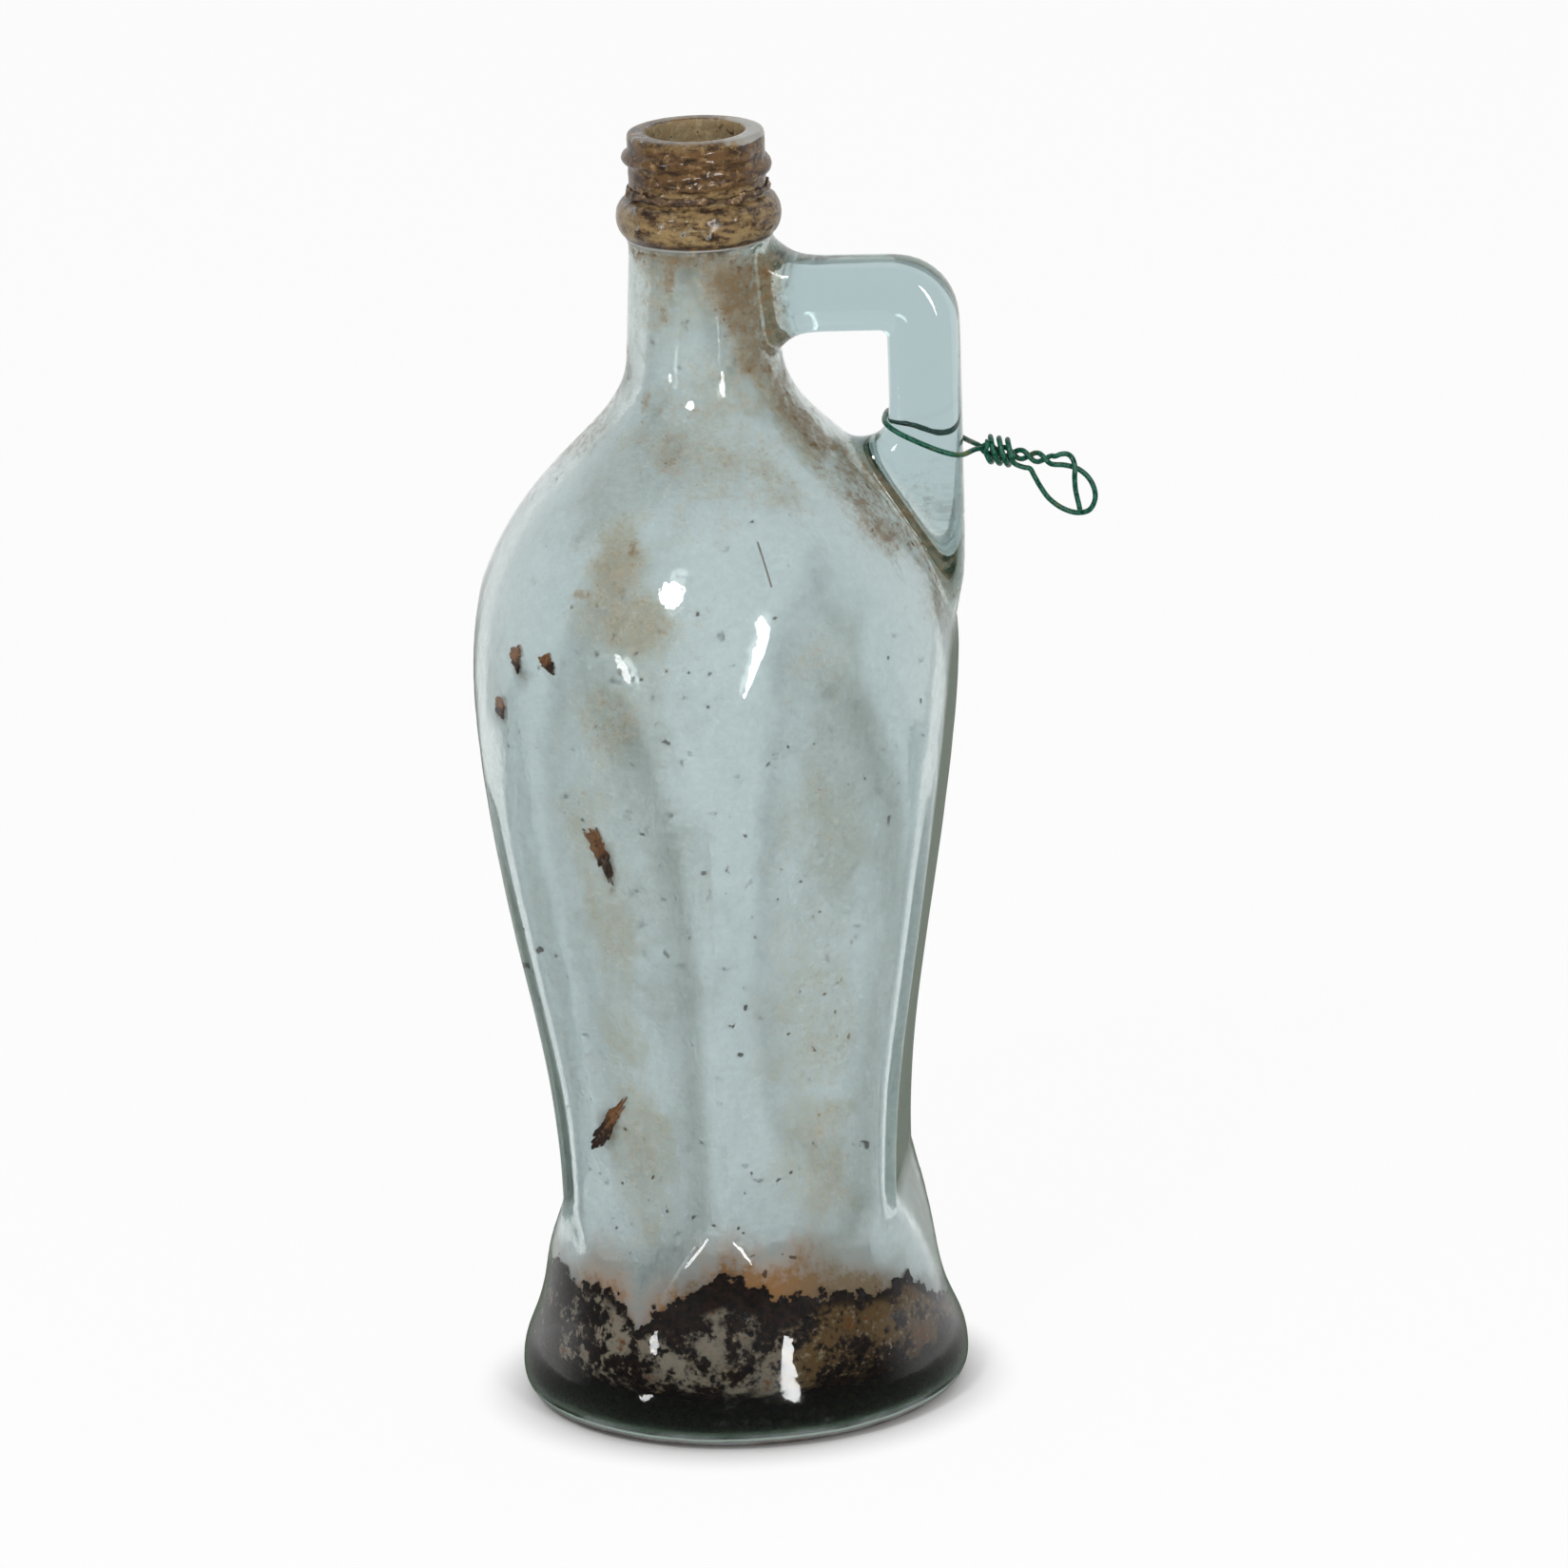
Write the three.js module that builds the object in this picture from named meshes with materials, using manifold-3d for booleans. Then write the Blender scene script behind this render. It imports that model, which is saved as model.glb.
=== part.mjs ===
// Handled glass bottle with a screw finish, a wire tie on its handle and dried residue inside.
// Millimetres, +Z up. The origin is the middle of the base, and +X points to the handle.

import * as THREE from 'three';
import { mergeVertices } from 'three/addons/utils/BufferGeometryUtils.js';
import Module from 'manifold-3d';

// Clearances between pieces
const seatGap = 0.3;
const wireGap = 0.4;
const flakeGap = 0.45;

// Body of the bottle: radii are those of the ridges, heights are the lengths of its stretches
const baseRadius = 42;
const heelRadius = 5;
const waistRadius = 36;
const waistHeight = 40;
const shoulderRadius = 47.2;
const bodyRise = 91;
const neckFootRadius = 14.3;
const shoulderRise = 69;
const neckTopRadius = 13;
const neckLength = 22;

// How far the outline runs on nearly straight up or down at each turning point
const flareRun = 10.5;
const waistRunDown = 28.2;
const waistRunUp = 35.5;
const shoulderRunDown = 37;
const shoulderRunUp = 48.6;
const neckFootRun = 17.7;

// Flat panels pressed into the body, arched at the top and pointed at the bottom
const panelCount = 6;
const panelArchRise = 60;
const panelAboveShoulder = 24;
const panelPointLength = 20;
const panelBottom = 21;
const ridgeSoftness = 0.035;
const panelFadeSlope = 0.01;

// Finish: transfer bead, wall with one helical thread, and flat lip round the bore
const finishRadius = 12.6;
const beadDepth = 7.6;
const beadProud = 2.65;
const lipRound = 0.6;
const boreRadius = 8.9;
const threadPitch = 4.2;
const threadTurns = 1.3;
const threadRadius = 1.35;
const threadProud = 1.15;
const lipAboveThread = 1.35;
const wallBelowThread = 2.39;
const threadStartAngle = -15;
const threadFade = 0.07;

// Glass thickness
const wall = 3.3;
const heelWall = 5.4;
const floorThickness = 7;
const innerHeelRadius = 7;

// Handle: a bar out from the neck, then an upright down to the shoulder
const handleBar = 13.6;
const handleUpright = 13.4;
const handleWidth = 13;
const handleEdge = 4;
const handleCorner = 11.5;
const handleInnerCorner = 1;
const handleBelowBead = 4.8;
const handleLean = 0.7;
const fingerGapHeight = 21;
const gapFillet = 2.6;
const neckWeb = 5.5;
const neckWebFoot = 4;
const footAboveShoulder = 14.7;
const footTaper = 9;
const footThin = 1.8;

// Wire tie: one bent wire round the upright, twisted into a stem, with an end loop wound back on it
const wireDiameter = 1;
const wireSlack = 0.1;
const tieAboveGap = 4.6;
const tieDrop = 6.4;
const tieDropCurve = 1.3;
const stemStart = 3.2;
const stemLength = 13.4;
const stemDrop = 2.6;
const stemTurns = 2.25;
const windingTurns = 3.1;
const windingPitch = 1.6;
const windingStart = 1;
const stubLength = 2.3;
const strandLead = 0.9;
const strandLeadSpread = 1.7;
const loopOpening = 34;
const loopSquareness = 0.55;

// Free stretches of the wire, from the stem's far end: along X, across Y, up Z
const endLoopPoints = [
  [-5.6, -1.3, -0.9],
  [-4.5, -1.5, -1.1],
  [-3.7, -1.4, -2.6],
  [-2.7, -1.2, -4.6],
  [-1.1, -0.8, -7.1],
  [1.5, -0.3, -9.2],
  [4, 0, -10],
  [6.1, 0, -9.5],
  [7.2, 0, -7.5],
  [7.1, 0, -5.4],
  [6, 0, -3.2],
  [4.1, 0, -1.6],
  [1.7, 0, -0.9],
];
const tailPoints = [
  [1.2, 0, 1.15],
  [2.4, -0.2, 1.2],
  [3.3, -0.8, 0.6],
  [3.8, -1.5, -0.9],
  [3.7, -1.7, -2.8],
  [3.8, -1.6, -5.3],
  [4.3, -1.6, -8],
  [4.5, -1.6, -9.2],
];

// Dried residue: a lining in the base, a ring of crust under the thread, and flakes on the inner wall
const residueTop = 24;
const residueThickness = 1.6;
const crustThickness = 0.7;
const flakeThickness = 0.8;
const flakes = [
  { name: 'rust_flake_1', angle: -119, height: 114, length: 10, width: 4 },
  { name: 'rust_flake_2', angle: -128, height: 60, length: 9, width: 4.6 },
  { name: 'rust_flake_3', angle: -141, height: 150, length: 3.4, width: 3 },
  { name: 'rust_flake_4', angle: -130, height: 150, length: 2.6, width: 3.2 },
  { name: 'rust_flake_5', angle: -146, height: 140, length: 3, width: 2.6 },
];
const flakeLobes = 3;
const flakeLobeDepth = 0.16;

// Facets
const turnSteps = 48;
const heelSteps = 3;
const flareSteps = 5;
const bodySteps = 9;
const shoulderSteps = 10;
const innerFlareSteps = 4;
const innerBodySteps = 6;
const innerShoulderSteps = 8;
const beadSteps = 5;
const beadStartAngle = -70;
const threadSteps = 32;
const threadSides = 8;
const edgeSteps = 3;
const cornerSteps = 6;
const wireSides = 6;
const wireStepsPerTurn = 24;
const windingPointsPerTurn = 12;
const strandPointsPerTurn = 8;
const loopPoints = 12;
const gapProbesPerStep = 4;
const wireNextTo = 3 * wireDiameter;
const flakeSides = 14;
const weldDistance = 1e-4;

// Heights that follow from the lengths above
const shoulderHeight = waistHeight + bodyRise;
const neckFootHeight = shoulderHeight + shoulderRise;
const beadFoot = neckFootHeight + neckLength;
const finishFoot = beadFoot + beadDepth;
const threadFoot = finishFoot + wallBelowThread;
const threadTop = threadFoot + threadPitch * threadTurns + 2 * threadRadius;
const bottleHeight = threadTop + lipAboveThread;
const ridgeFoot = panelBottom + panelPointLength;
const archTop = shoulderHeight + panelAboveShoulder;
const archFoot = archTop - panelArchRise;

// The handle's faces that follow from the body: its outer face is flush with the shoulder
const handleTop = beadFoot - handleBelowBead;
const barUnderside = handleTop - handleBar;
const gapFloor = barUnderside - fingerGapHeight;
const handleOuter = shoulderRadius;
const handleInner = handleOuter - handleUpright;

// The twisted strands lie beside each other, and the winding goes round both
const strandRadius = (wireDiameter + wireGap) / 2 + wireSlack;
const windingRadius = strandRadius + wireDiameter + wireGap + wireSlack;

const degree = Math.PI / 180;
const flat = (x, y) => new THREE.Vector2(x, y);
const space = (x, y, z) => new THREE.Vector3(x, y, z);

const wasm = await Module();
wasm.setup();

// A closed geometry as a solid that can be cut or joined.
function toSolid(geometry) {
  const bare = geometry.clone();
  bare.deleteAttribute('normal');
  bare.deleteAttribute('uv');
  const merged = mergeVertices(bare, weldDistance);
  const corners = merged.index.array;
  const triangles = [];
  for (let i = 0; i < corners.length; i += 3) {
    const [a, b, c] = corners.subarray(i, i + 3);
    if (a !== b && b !== c && c !== a) {
      triangles.push(a, b, c);
    }
  }
  const vertProperties = new Float32Array(merged.attributes.position.array);
  const triVerts = new Uint32Array(triangles);
  return new wasm.Manifold(new wasm.Mesh({ numProp: 3, vertProperties, triVerts }));
}

function toGeometry(solid) {
  const mesh = solid.getMesh();
  const geometry = new THREE.BufferGeometry();
  geometry.setAttribute('position', new THREE.BufferAttribute(mesh.vertProperties, mesh.numProp));
  geometry.setIndex(new THREE.BufferAttribute(mesh.triVerts, 1));
  geometry.computeVertexNormals();
  return geometry;
}

// The points along a chain of curves, each with its own number of steps.
function trace(...stretches) {
  const points = [];
  for (const [curve, steps] of stretches) {
    for (const point of curve.getPoints(steps)) {
      const last = points.at(-1);
      if (!last || last.distanceTo(point) > weldDistance) {
        points.push(point);
      }
    }
  }
  return points;
}

const line = (a, b) => [new THREE.LineCurve(a, b), 1];

// A stretch between two turning points, upright at both ends.
function sweep(from, fromRun, to, toRun, steps) {
  const side = Math.sign(to.y - from.y);
  const near = flat(from.x, from.y + side * fromRun);
  const far = flat(to.x, to.y - side * toRun);
  return [new THREE.CubicBezierCurve(from, near, far, to), steps];
}

function roundArc(x, y, rx, ry, fromAngle, toAngle, steps) {
  const clockwise = toAngle < fromAngle;
  return [new THREE.EllipseCurve(x, y, rx, ry, fromAngle * degree, toAngle * degree, clockwise), steps];
}

// The outer skin from the middle of the base up to the bore's edge.
function outerSkin() {
  const heel = flat(baseRadius, heelRadius);
  const waist = flat(waistRadius, waistHeight);
  const shoulder = flat(shoulderRadius, shoulderHeight);
  const neckFoot = flat(neckFootRadius, neckFootHeight);
  const neckTop = flat(neckTopRadius, beadFoot);
  const beadMiddle = beadFoot + beadDepth / 2;
  const contact = baseRadius - heelRadius;
  const bead = roundArc(finishRadius, beadMiddle, beadProud, beadDepth / 2, beadStartAngle, 90, beadSteps);
  const wallTop = flat(finishRadius, bottleHeight - lipRound);
  const lipOuter = flat(finishRadius - lipRound, bottleHeight);
  return trace(
    line(flat(0, 0), flat(contact, 0)),
    roundArc(contact, heelRadius, heelRadius, heelRadius, -90, 0, heelSteps),
    sweep(heel, flareRun, waist, waistRunDown, flareSteps),
    sweep(waist, waistRunUp, shoulder, shoulderRunDown, bodySteps),
    sweep(shoulder, shoulderRunUp, neckFoot, neckFootRun, shoulderSteps),
    line(neckFoot, neckTop),
    bead,
    line(flat(finishRadius, finishFoot), wallTop),
    line(wallTop, lipOuter),
    line(lipOuter, flat(boreRadius + lipRound, bottleHeight)),
  );
}

// The inner skin from the bore's edge down to the middle of the floor.
function innerSkin() {
  const bore = flat(boreRadius, bottleHeight - lipRound);
  const neckTop = flat(boreRadius, beadFoot);
  const neckFoot = flat(neckFootRadius - wall, neckFootHeight - wall / 2);
  const shoulder = flat(shoulderRadius - wall, shoulderHeight);
  const waist = flat(waistRadius - wall, waistHeight);
  const heel = flat(baseRadius - heelWall, floorThickness + innerHeelRadius);
  const floorEdge = baseRadius - heelWall - innerHeelRadius;
  const heelArc = roundArc(floorEdge, heel.y, innerHeelRadius, innerHeelRadius, 0, -90, heelSteps);
  return trace(
    line(flat(boreRadius + lipRound, bottleHeight), bore),
    line(bore, neckTop),
    line(neckTop, neckFoot),
    sweep(neckFoot, neckFootRun, shoulder, shoulderRunUp, innerShoulderSteps),
    sweep(shoulder, shoulderRunDown, waist, waistRunUp, innerBodySteps),
    sweep(waist, waistRunDown - innerHeelRadius - floorThickness, heel, flareRun / 2, innerFlareSteps),
    heelArc,
    line(flat(floorEdge, floorThickness), flat(0, floorThickness)),
  );
}

// A profile moved to its right-hand side, as seen along its direction.
function offsetProfile(points, distance) {
  return points.map((point, i) => {
    const before = points[Math.max(i - 1, 0)];
    const after = points[Math.min(i + 1, points.length - 1)];
    const along = after.clone().sub(before).normalize();
    const moved = flat(point.x + along.y * distance, point.y - along.x * distance);
    return point.x === 0 ? flat(0, moved.y) : moved;
  });
}

// Half the width of a panel at a height, as an angle: a point below, flat sides, then a round arch.
function panelHalfAngle(z) {
  const full = Math.PI / panelCount;
  const point = THREE.MathUtils.clamp((z - panelBottom) / panelPointLength, 0, 1);
  const climb = THREE.MathUtils.clamp((z - archFoot) / panelArchRise, 0, 1);
  return full * point * Math.sqrt(1 - climb * climb);
}

// The share of the ridge radius that the glass has at an angle and a height.
function panelFactor(angle, z) {
  const spacing = 2 * Math.PI / panelCount;
  const fromMiddle = angle - spacing * Math.round(angle / spacing);
  const past = Math.max(panelBottom - z, z - archTop, 0);
  const depth = Math.cos(panelHalfAngle(z)) + panelFadeSlope * past;
  const pressed = depth / Math.cos(fromMiddle);
  const overlap = Math.max(ridgeSoftness - Math.abs(1 - pressed), 0);
  return Math.min(1, pressed) - overlap * overlap / (4 * ridgeSoftness);
}

// A profile turned about the axis, with the panels pressed into it.
function turned(profile) {
  const geometry = new THREE.LatheGeometry(profile, turnSteps);
  geometry.rotateX(Math.PI / 2);
  const position = geometry.attributes.position;
  for (let i = 0; i < position.count; i += 1) {
    const x = position.getX(i);
    const y = position.getY(i);
    const factor = panelFactor(Math.atan2(y, x), position.getZ(i));
    position.setXY(i, x * factor, y * factor);
  }
  return geometry;
}

function regularShape(radius, sides) {
  const points = [];
  for (let i = 0; i < sides; i += 1) {
    const angle = 2 * Math.PI * i / sides;
    points.push(flat(radius * Math.cos(angle), radius * Math.sin(angle)));
  }
  return new THREE.Shape(points);
}

function tube(path, radius, sides, steps) {
  return new THREE.ExtrudeGeometry(regularShape(radius, sides), { steps, extrudePath: path });
}

// The thread's middle line, which sinks into the wall at both ends.
class ThreadLine extends THREE.Curve {
  getPoint(t) {
    const angle = threadStartAngle * degree - 2 * Math.PI * threadTurns * t;
    const rise = Math.min(t, 1 - t) / threadFade;
    const sunk = threadRadius * (1 - THREE.MathUtils.smoothstep(rise, 0, 1));
    const radius = finishRadius + threadProud - threadRadius - sunk;
    const z = threadTop - threadRadius - threadPitch * threadTurns * t;
    return space(radius * Math.cos(angle), radius * Math.sin(angle), z);
  }
}

function glassBody() {
  const shell = toSolid(turned([...outerSkin(), ...innerSkin().slice(1)]));
  const thread = toSolid(tube(new ThreadLine(), threadRadius, threadSides, threadSteps));
  return toGeometry(shell.add(thread));
}

// The bottle's outside as one block, grown by the seat gap.
function bodyBlank() {
  const skin = offsetProfile(outerSkin().slice(1), seatGap);
  const bottom = flat(0, skin[0].y);
  const top = flat(0, skin.at(-1).y);
  return toSolid(turned([bottom, ...skin, top]));
}

// The handle's side outline, which runs in to the bottle's axis.
function handleOutline() {
  const footEnd = shoulderHeight + footAboveShoulder;
  const footFace = handleOuter - handleLean;
  const root = 0;
  const shape = new THREE.Shape();
  shape.moveTo(root, handleTop + neckWeb);
  shape.lineTo(neckTopRadius, handleTop + neckWeb);
  shape.quadraticCurveTo(neckTopRadius, handleTop, neckTopRadius + neckWeb, handleTop);
  shape.lineTo(handleOuter - handleCorner, handleTop);
  shape.absarc(handleOuter - handleCorner, handleTop - handleCorner, handleCorner, Math.PI / 2, 0, true);
  shape.lineTo(footFace, footEnd + footTaper);
  shape.lineTo(footFace - footThin, footEnd);
  shape.lineTo(root, footEnd);
  shape.lineTo(root, gapFloor);
  shape.lineTo(handleInner - gapFillet, gapFloor);
  shape.quadraticCurveTo(handleInner, gapFloor, handleInner, gapFloor + gapFillet);
  shape.lineTo(handleInner, barUnderside - handleInnerCorner);
  shape.quadraticCurveTo(handleInner, barUnderside, handleInner - handleInnerCorner, barUnderside);
  shape.lineTo(neckFootRadius + neckWebFoot, barUnderside);
  shape.quadraticCurveTo(neckFootRadius, barUnderside, neckFootRadius, barUnderside - neckWebFoot);
  shape.lineTo(root, barUnderside - neckWebFoot);
  return shape;
}

function glassHandle() {
  const depth = handleWidth - 2 * handleEdge;
  const geometry = new THREE.ExtrudeGeometry(handleOutline(), {
    depth,
    curveSegments: cornerSteps,
    bevelEnabled: true,
    bevelThickness: handleEdge,
    bevelSize: handleEdge,
    bevelOffset: -handleEdge,
    bevelSegments: edgeSteps,
  });
  geometry.rotateX(Math.PI / 2);
  geometry.translate(0, depth / 2, 0);
  return toGeometry(toSolid(geometry).subtract(bodyBlank()));
}

// The wire's route: stub, winding, end loop, stem, round the upright, stem again, tail.
function wireRoute() {
  const innerHeight = gapFloor + tieAboveGap;
  const outerHeight = innerHeight - tieDrop;
  const stemFoot = space(handleOuter + stemStart, 0, outerHeight);
  const stemEnd = space(stemFoot.x + stemLength, 0, stemFoot.z - stemDrop);
  const stemRun = stemFoot.distanceTo(stemEnd);
  const axis = stemEnd.clone().sub(stemFoot).normalize();
  const front = space(0, -1, 0);
  const down = axis.clone().cross(front);

  const around = (distance, radius, turn) => stemFoot.clone()
    .addScaledVector(axis, distance)
    .addScaledVector(front, radius * Math.cos(2 * Math.PI * turn))
    .addScaledVector(down, radius * Math.sin(2 * Math.PI * turn));
  const fromStemEnd = (points) => points.map(([x, y, z]) => stemEnd.clone().add(space(x, y, z)));

  function stub() {
    const foot = around(windingStart, windingRadius, 0);
    return [1, 0.5].map((share) => foot.clone().addScaledVector(down, -stubLength * share));
  }

  function winding() {
    const count = Math.round(windingTurns * windingPointsPerTurn);
    return Array.from({ length: count + 1 }, (_, i) => {
      const turn = windingTurns * i / count;
      return around(windingStart + windingPitch * turn, windingRadius, turn);
    });
  }

  function strand(startTurn) {
    const count = Math.round(stemTurns * strandPointsPerTurn);
    const points = [around(-strandLead, strandLeadSpread, startTurn)];
    for (let i = 0; i <= count; i += 1) {
      points.push(around(stemRun * i / count, strandRadius, startTurn + stemTurns * i / count));
    }
    return points;
  }

  function roundUpright() {
    const reach = wireDiameter / 2 + wireGap;
    const halfAlong = handleUpright / 2 + reach;
    const halfAcross = handleWidth / 2 + reach;
    const middle = (handleInner + handleOuter) / 2;
    const squared = (value) => Math.sign(value) * Math.abs(value) ** loopSquareness;
    const start = loopOpening * degree;
    return Array.from({ length: loopPoints + 1 }, (_, i) => {
      const angle = -start - 2 * (Math.PI - start) * i / loopPoints;
      const along = halfAlong * squared(Math.cos(angle));
      const inward = (halfAlong - along) / (2 * halfAlong);
      const z = outerHeight + tieDrop * inward ** tieDropCurve;
      return space(middle + along, halfAcross * squared(Math.sin(angle)), z);
    });
  }

  const route = [
    ...stub(),
    ...winding(),
    ...fromStemEnd(endLoopPoints),
    ...strand(0).reverse(),
    ...roundUpright(),
    ...strand(0.5),
    ...fromStemEnd(tailPoints),
  ];
  return new THREE.CatmullRomCurve3(route, false, 'centripetal');
}

// The least gap between two stretches of the wire that aren't next to each other along it.
function leastGap(route, probes) {
  const points = route.getSpacedPoints(probes);
  const apart = Math.ceil(wireNextTo * probes / route.getLength());
  let least = Infinity;
  for (let i = 0; i < points.length; i += 1) {
    for (let j = i + apart; j < points.length; j += 1) {
      least = Math.min(least, points[i].distanceTo(points[j]));
    }
  }
  return least - wireDiameter;
}

function tieWire() {
  const route = wireRoute();
  const length = route.getLength();
  const steps = Math.round(length * wireStepsPerTurn / (2 * Math.PI * windingRadius));
  const gap = leastGap(route, steps * gapProbesPerStep);
  console.log(`wire length ${length.toFixed(1)} mm, least gap to itself ${gap.toFixed(2)} mm`);
  return tube(route, wireDiameter / 2, wireSides, steps);
}

// A lining on the floor and the lower wall.
function baseResidue() {
  const covered = innerSkin().filter((point) => point.y < residueTop);
  const skin = [flat(innerRadius(residueTop), residueTop), ...covered].reverse();
  const outer = offsetProfile(skin, -seatGap);
  const inner = offsetProfile(skin, -seatGap - residueThickness);
  return turned([...outer, ...inner.reverse()]);
}

// A ring of crust round the finish, between the bead and the thread's lower end.
function finishCrust() {
  const inner = finishRadius + seatGap;
  const outer = inner + crustThickness;
  const low = finishFoot + seatGap;
  const high = threadFoot - seatGap;
  const section = [flat(inner, low), flat(outer, low), flat(outer, high), flat(inner, high)];
  return turned([...section, section[0]]);
}

// The inner wall's radius at a height above the floor's corner.
function innerRadius(z) {
  const skin = innerSkin();
  const i = skin.findIndex((point) => point.y < z);
  const [above, below] = [skin[i - 1], skin[i]];
  return THREE.MathUtils.lerp(below.x, above.x, (z - below.y) / (above.y - below.y));
}

function wallPoint(angle, z) {
  const radius = innerRadius(z) * panelFactor(angle, z);
  return space(radius * Math.cos(angle), radius * Math.sin(angle), z);
}

function flakeGeometry({ length, width }) {
  const points = [];
  for (let i = 0; i < flakeSides; i += 1) {
    const angle = 2 * Math.PI * i / flakeSides;
    const lobe = 1 - flakeLobeDepth * (1 - Math.cos(flakeLobes * angle + length));
    points.push(flat(width / 2 * lobe * Math.cos(angle), length / 2 * lobe * Math.sin(angle)));
  }
  return new THREE.ExtrudeGeometry(new THREE.Shape(points), { depth: flakeThickness, bevelEnabled: false });
}

// A flake lies on the inner wall, with its outer face along the glass.
function placeFlake(mesh, { angle, height }) {
  const turn = angle * degree;
  const nudge = 1;
  const along = wallPoint(turn + nudge * degree, height).sub(wallPoint(turn - nudge * degree, height));
  const up = wallPoint(turn, height + nudge).sub(wallPoint(turn, height - nudge)).normalize();
  const inward = up.clone().cross(along).normalize();
  const side = up.clone().cross(inward).normalize();
  mesh.quaternion.setFromRotationMatrix(new THREE.Matrix4().makeBasis(side, up, inward));
  mesh.position.copy(wallPoint(turn, height)).addScaledVector(inward, flakeGap);
}

const glass = { color: 0xacbcc2, roughness: 0.08, metalness: 0 };
const wireCoat = { color: 0x1f5a46, roughness: 0.5, metalness: 0 };
const blackCrust = { color: 0x33261e, roughness: 0.9, metalness: 0 };
const brownCrust = { color: 0x7a5836, roughness: 0.95, metalness: 0 };
const rust = { color: 0x6b3d22, roughness: 0.95, metalness: 0 };

const bottle = new THREE.Group();

function addPiece(name, geometry, look) {
  const mesh = new THREE.Mesh(geometry, new THREE.MeshStandardMaterial(look));
  mesh.name = name;
  bottle.add(mesh);
  return mesh;
}

addPiece('glass_body', glassBody(), glass);
addPiece('glass_handle', glassHandle(), glass);
addPiece('tie_wire', tieWire(), wireCoat);
addPiece('base_residue', baseResidue(), blackCrust);
addPiece('finish_crust', finishCrust(), brownCrust);
for (const flake of flakes) {
  placeFlake(addPiece(flake.name, flakeGeometry(flake), rust), flake);
}

export default bottle;
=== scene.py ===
"""Looks of a weathered glass bottle with a side handle and a wire tie, on a pale studio floor.

Lengths are in millimetres and angles in degrees, until a shape is placed: Blender works in metres.
"""

import math

import bmesh
import bpy
from mathutils import Matrix, Vector, noise


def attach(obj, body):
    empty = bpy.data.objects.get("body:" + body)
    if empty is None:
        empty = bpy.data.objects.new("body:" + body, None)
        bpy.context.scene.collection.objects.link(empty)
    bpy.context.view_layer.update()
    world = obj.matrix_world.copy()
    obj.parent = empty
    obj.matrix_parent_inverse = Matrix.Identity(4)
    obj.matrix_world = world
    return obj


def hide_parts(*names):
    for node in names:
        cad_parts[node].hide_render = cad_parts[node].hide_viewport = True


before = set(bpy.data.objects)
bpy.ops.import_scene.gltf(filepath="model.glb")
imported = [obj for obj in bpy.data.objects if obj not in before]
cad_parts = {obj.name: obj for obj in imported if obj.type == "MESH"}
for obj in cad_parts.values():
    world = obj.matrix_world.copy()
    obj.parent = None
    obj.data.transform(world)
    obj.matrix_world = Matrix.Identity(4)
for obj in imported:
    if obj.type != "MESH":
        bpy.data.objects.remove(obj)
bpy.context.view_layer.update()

MM = 0.001

# Outline of the bottle: radii and heights of its turning points, and how far it runs upright there
BASE_RADIUS = 42
HEEL_RADIUS = 5
WAIST = (36, 40)
SHOULDER = (47.2, 131)
NECK_FOOT = (14.3, 200)
NECK_TOP = (13, 222)
FLARE_RUN = 10.5
WAIST_RUN_DOWN = 28.2
WAIST_RUN_UP = 35.5
SHOULDER_RUN_DOWN = 37
SHOULDER_RUN_UP = 48.6
NECK_FOOT_RUN = 17.7

# Panels pressed into the body
PANEL_COUNT = 6
PANEL_BOTTOM = 21
RIDGE_FOOT = 41
ARCH_FOOT = 95
ARCH_TOP = 155
RIDGE_SOFTNESS = 0.035
PANEL_FADE = 0.01

# Finish
FINISH_RADIUS = 12.6
BEAD_PROUD = 2.65
BEAD_DEPTH = 7.6
BEAD_START_ANGLE = -82
FINISH_FOOT = 229.6
LIP_ROUND = 0.6
BORE_RADIUS = 8.9
BOTTLE_HEIGHT = 241.5
THREAD_TOP = 240.15
THREAD_FOOT = 231.99
THREAD_PITCH = 4.2
THREAD_TURNS = 1.3
THREAD_RADIUS = 1.35
THREAD_PROUD = 1.15
THREAD_START_ANGLE = -15
THREAD_FADE = 0.07

# Glass thickness
WALL = 3.3
HEEL_WALL = 5.4
FLOOR = 7
INNER_HEEL_RADIUS = 7

# Handle
HANDLE_OUTER = 47.2
HANDLE_INNER = 33.8
HANDLE_TOP = 217.2
BAR_UNDERSIDE = 203.6
GAP_FLOOR = 182.6
HANDLE_WIDTH = 13
HANDLE_CORNER = 11.5
INNER_CORNER = 1.2
HANDLE_SQUARENESS = 3
FOOT_ROOT_HALF_WIDTH = 8
NECK_ROOT_HALF_WIDTH = 7.7

# Columns and rows of the glass before it is smoothed
GLASS_COLUMNS = 72
NECK_ROWS = (200.6, 204, 207.4, 210.8, 214.2, 217.6, 221)
SHOULDER_ROWS = 24
FOOT_ROOT_ROWS = (3, 15)
FOOT_ROOT_ANGLE = 15
NECK_ROOT_ANGLE = 30
RING_POINTS = 36

# Crust on the finish
CRUST_COLUMNS = 160
CRUST_HEIGHT = 0.6
CRUST_LUMP = 2.6
CRUST_FLATNESS = 1.8
CRUST_FRONT_ANGLE = -84

# Dried residue and flakes on the inner wall
RESIDUE_COLUMNS = 120
RESIDUE_BED = 0.4
RESIDUE_FACE = 0.4
RESIDUE_CRUMB_TOP = 38
FLAKE_BED = 0.5


def rgb(red, green, blue):
    """A colour as it looks on screen, from 0 to 255, as the linear colour that a shader takes."""
    def linear(level):
        share = level / 255
        return share / 12.92 if share <= 0.04045 else ((share + 0.055) / 1.055) ** 2.4
    return (linear(red), linear(green), linear(blue), 1)


def clamp(value, low=0.0, high=1.0):
    return max(low, min(high, value))


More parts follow.
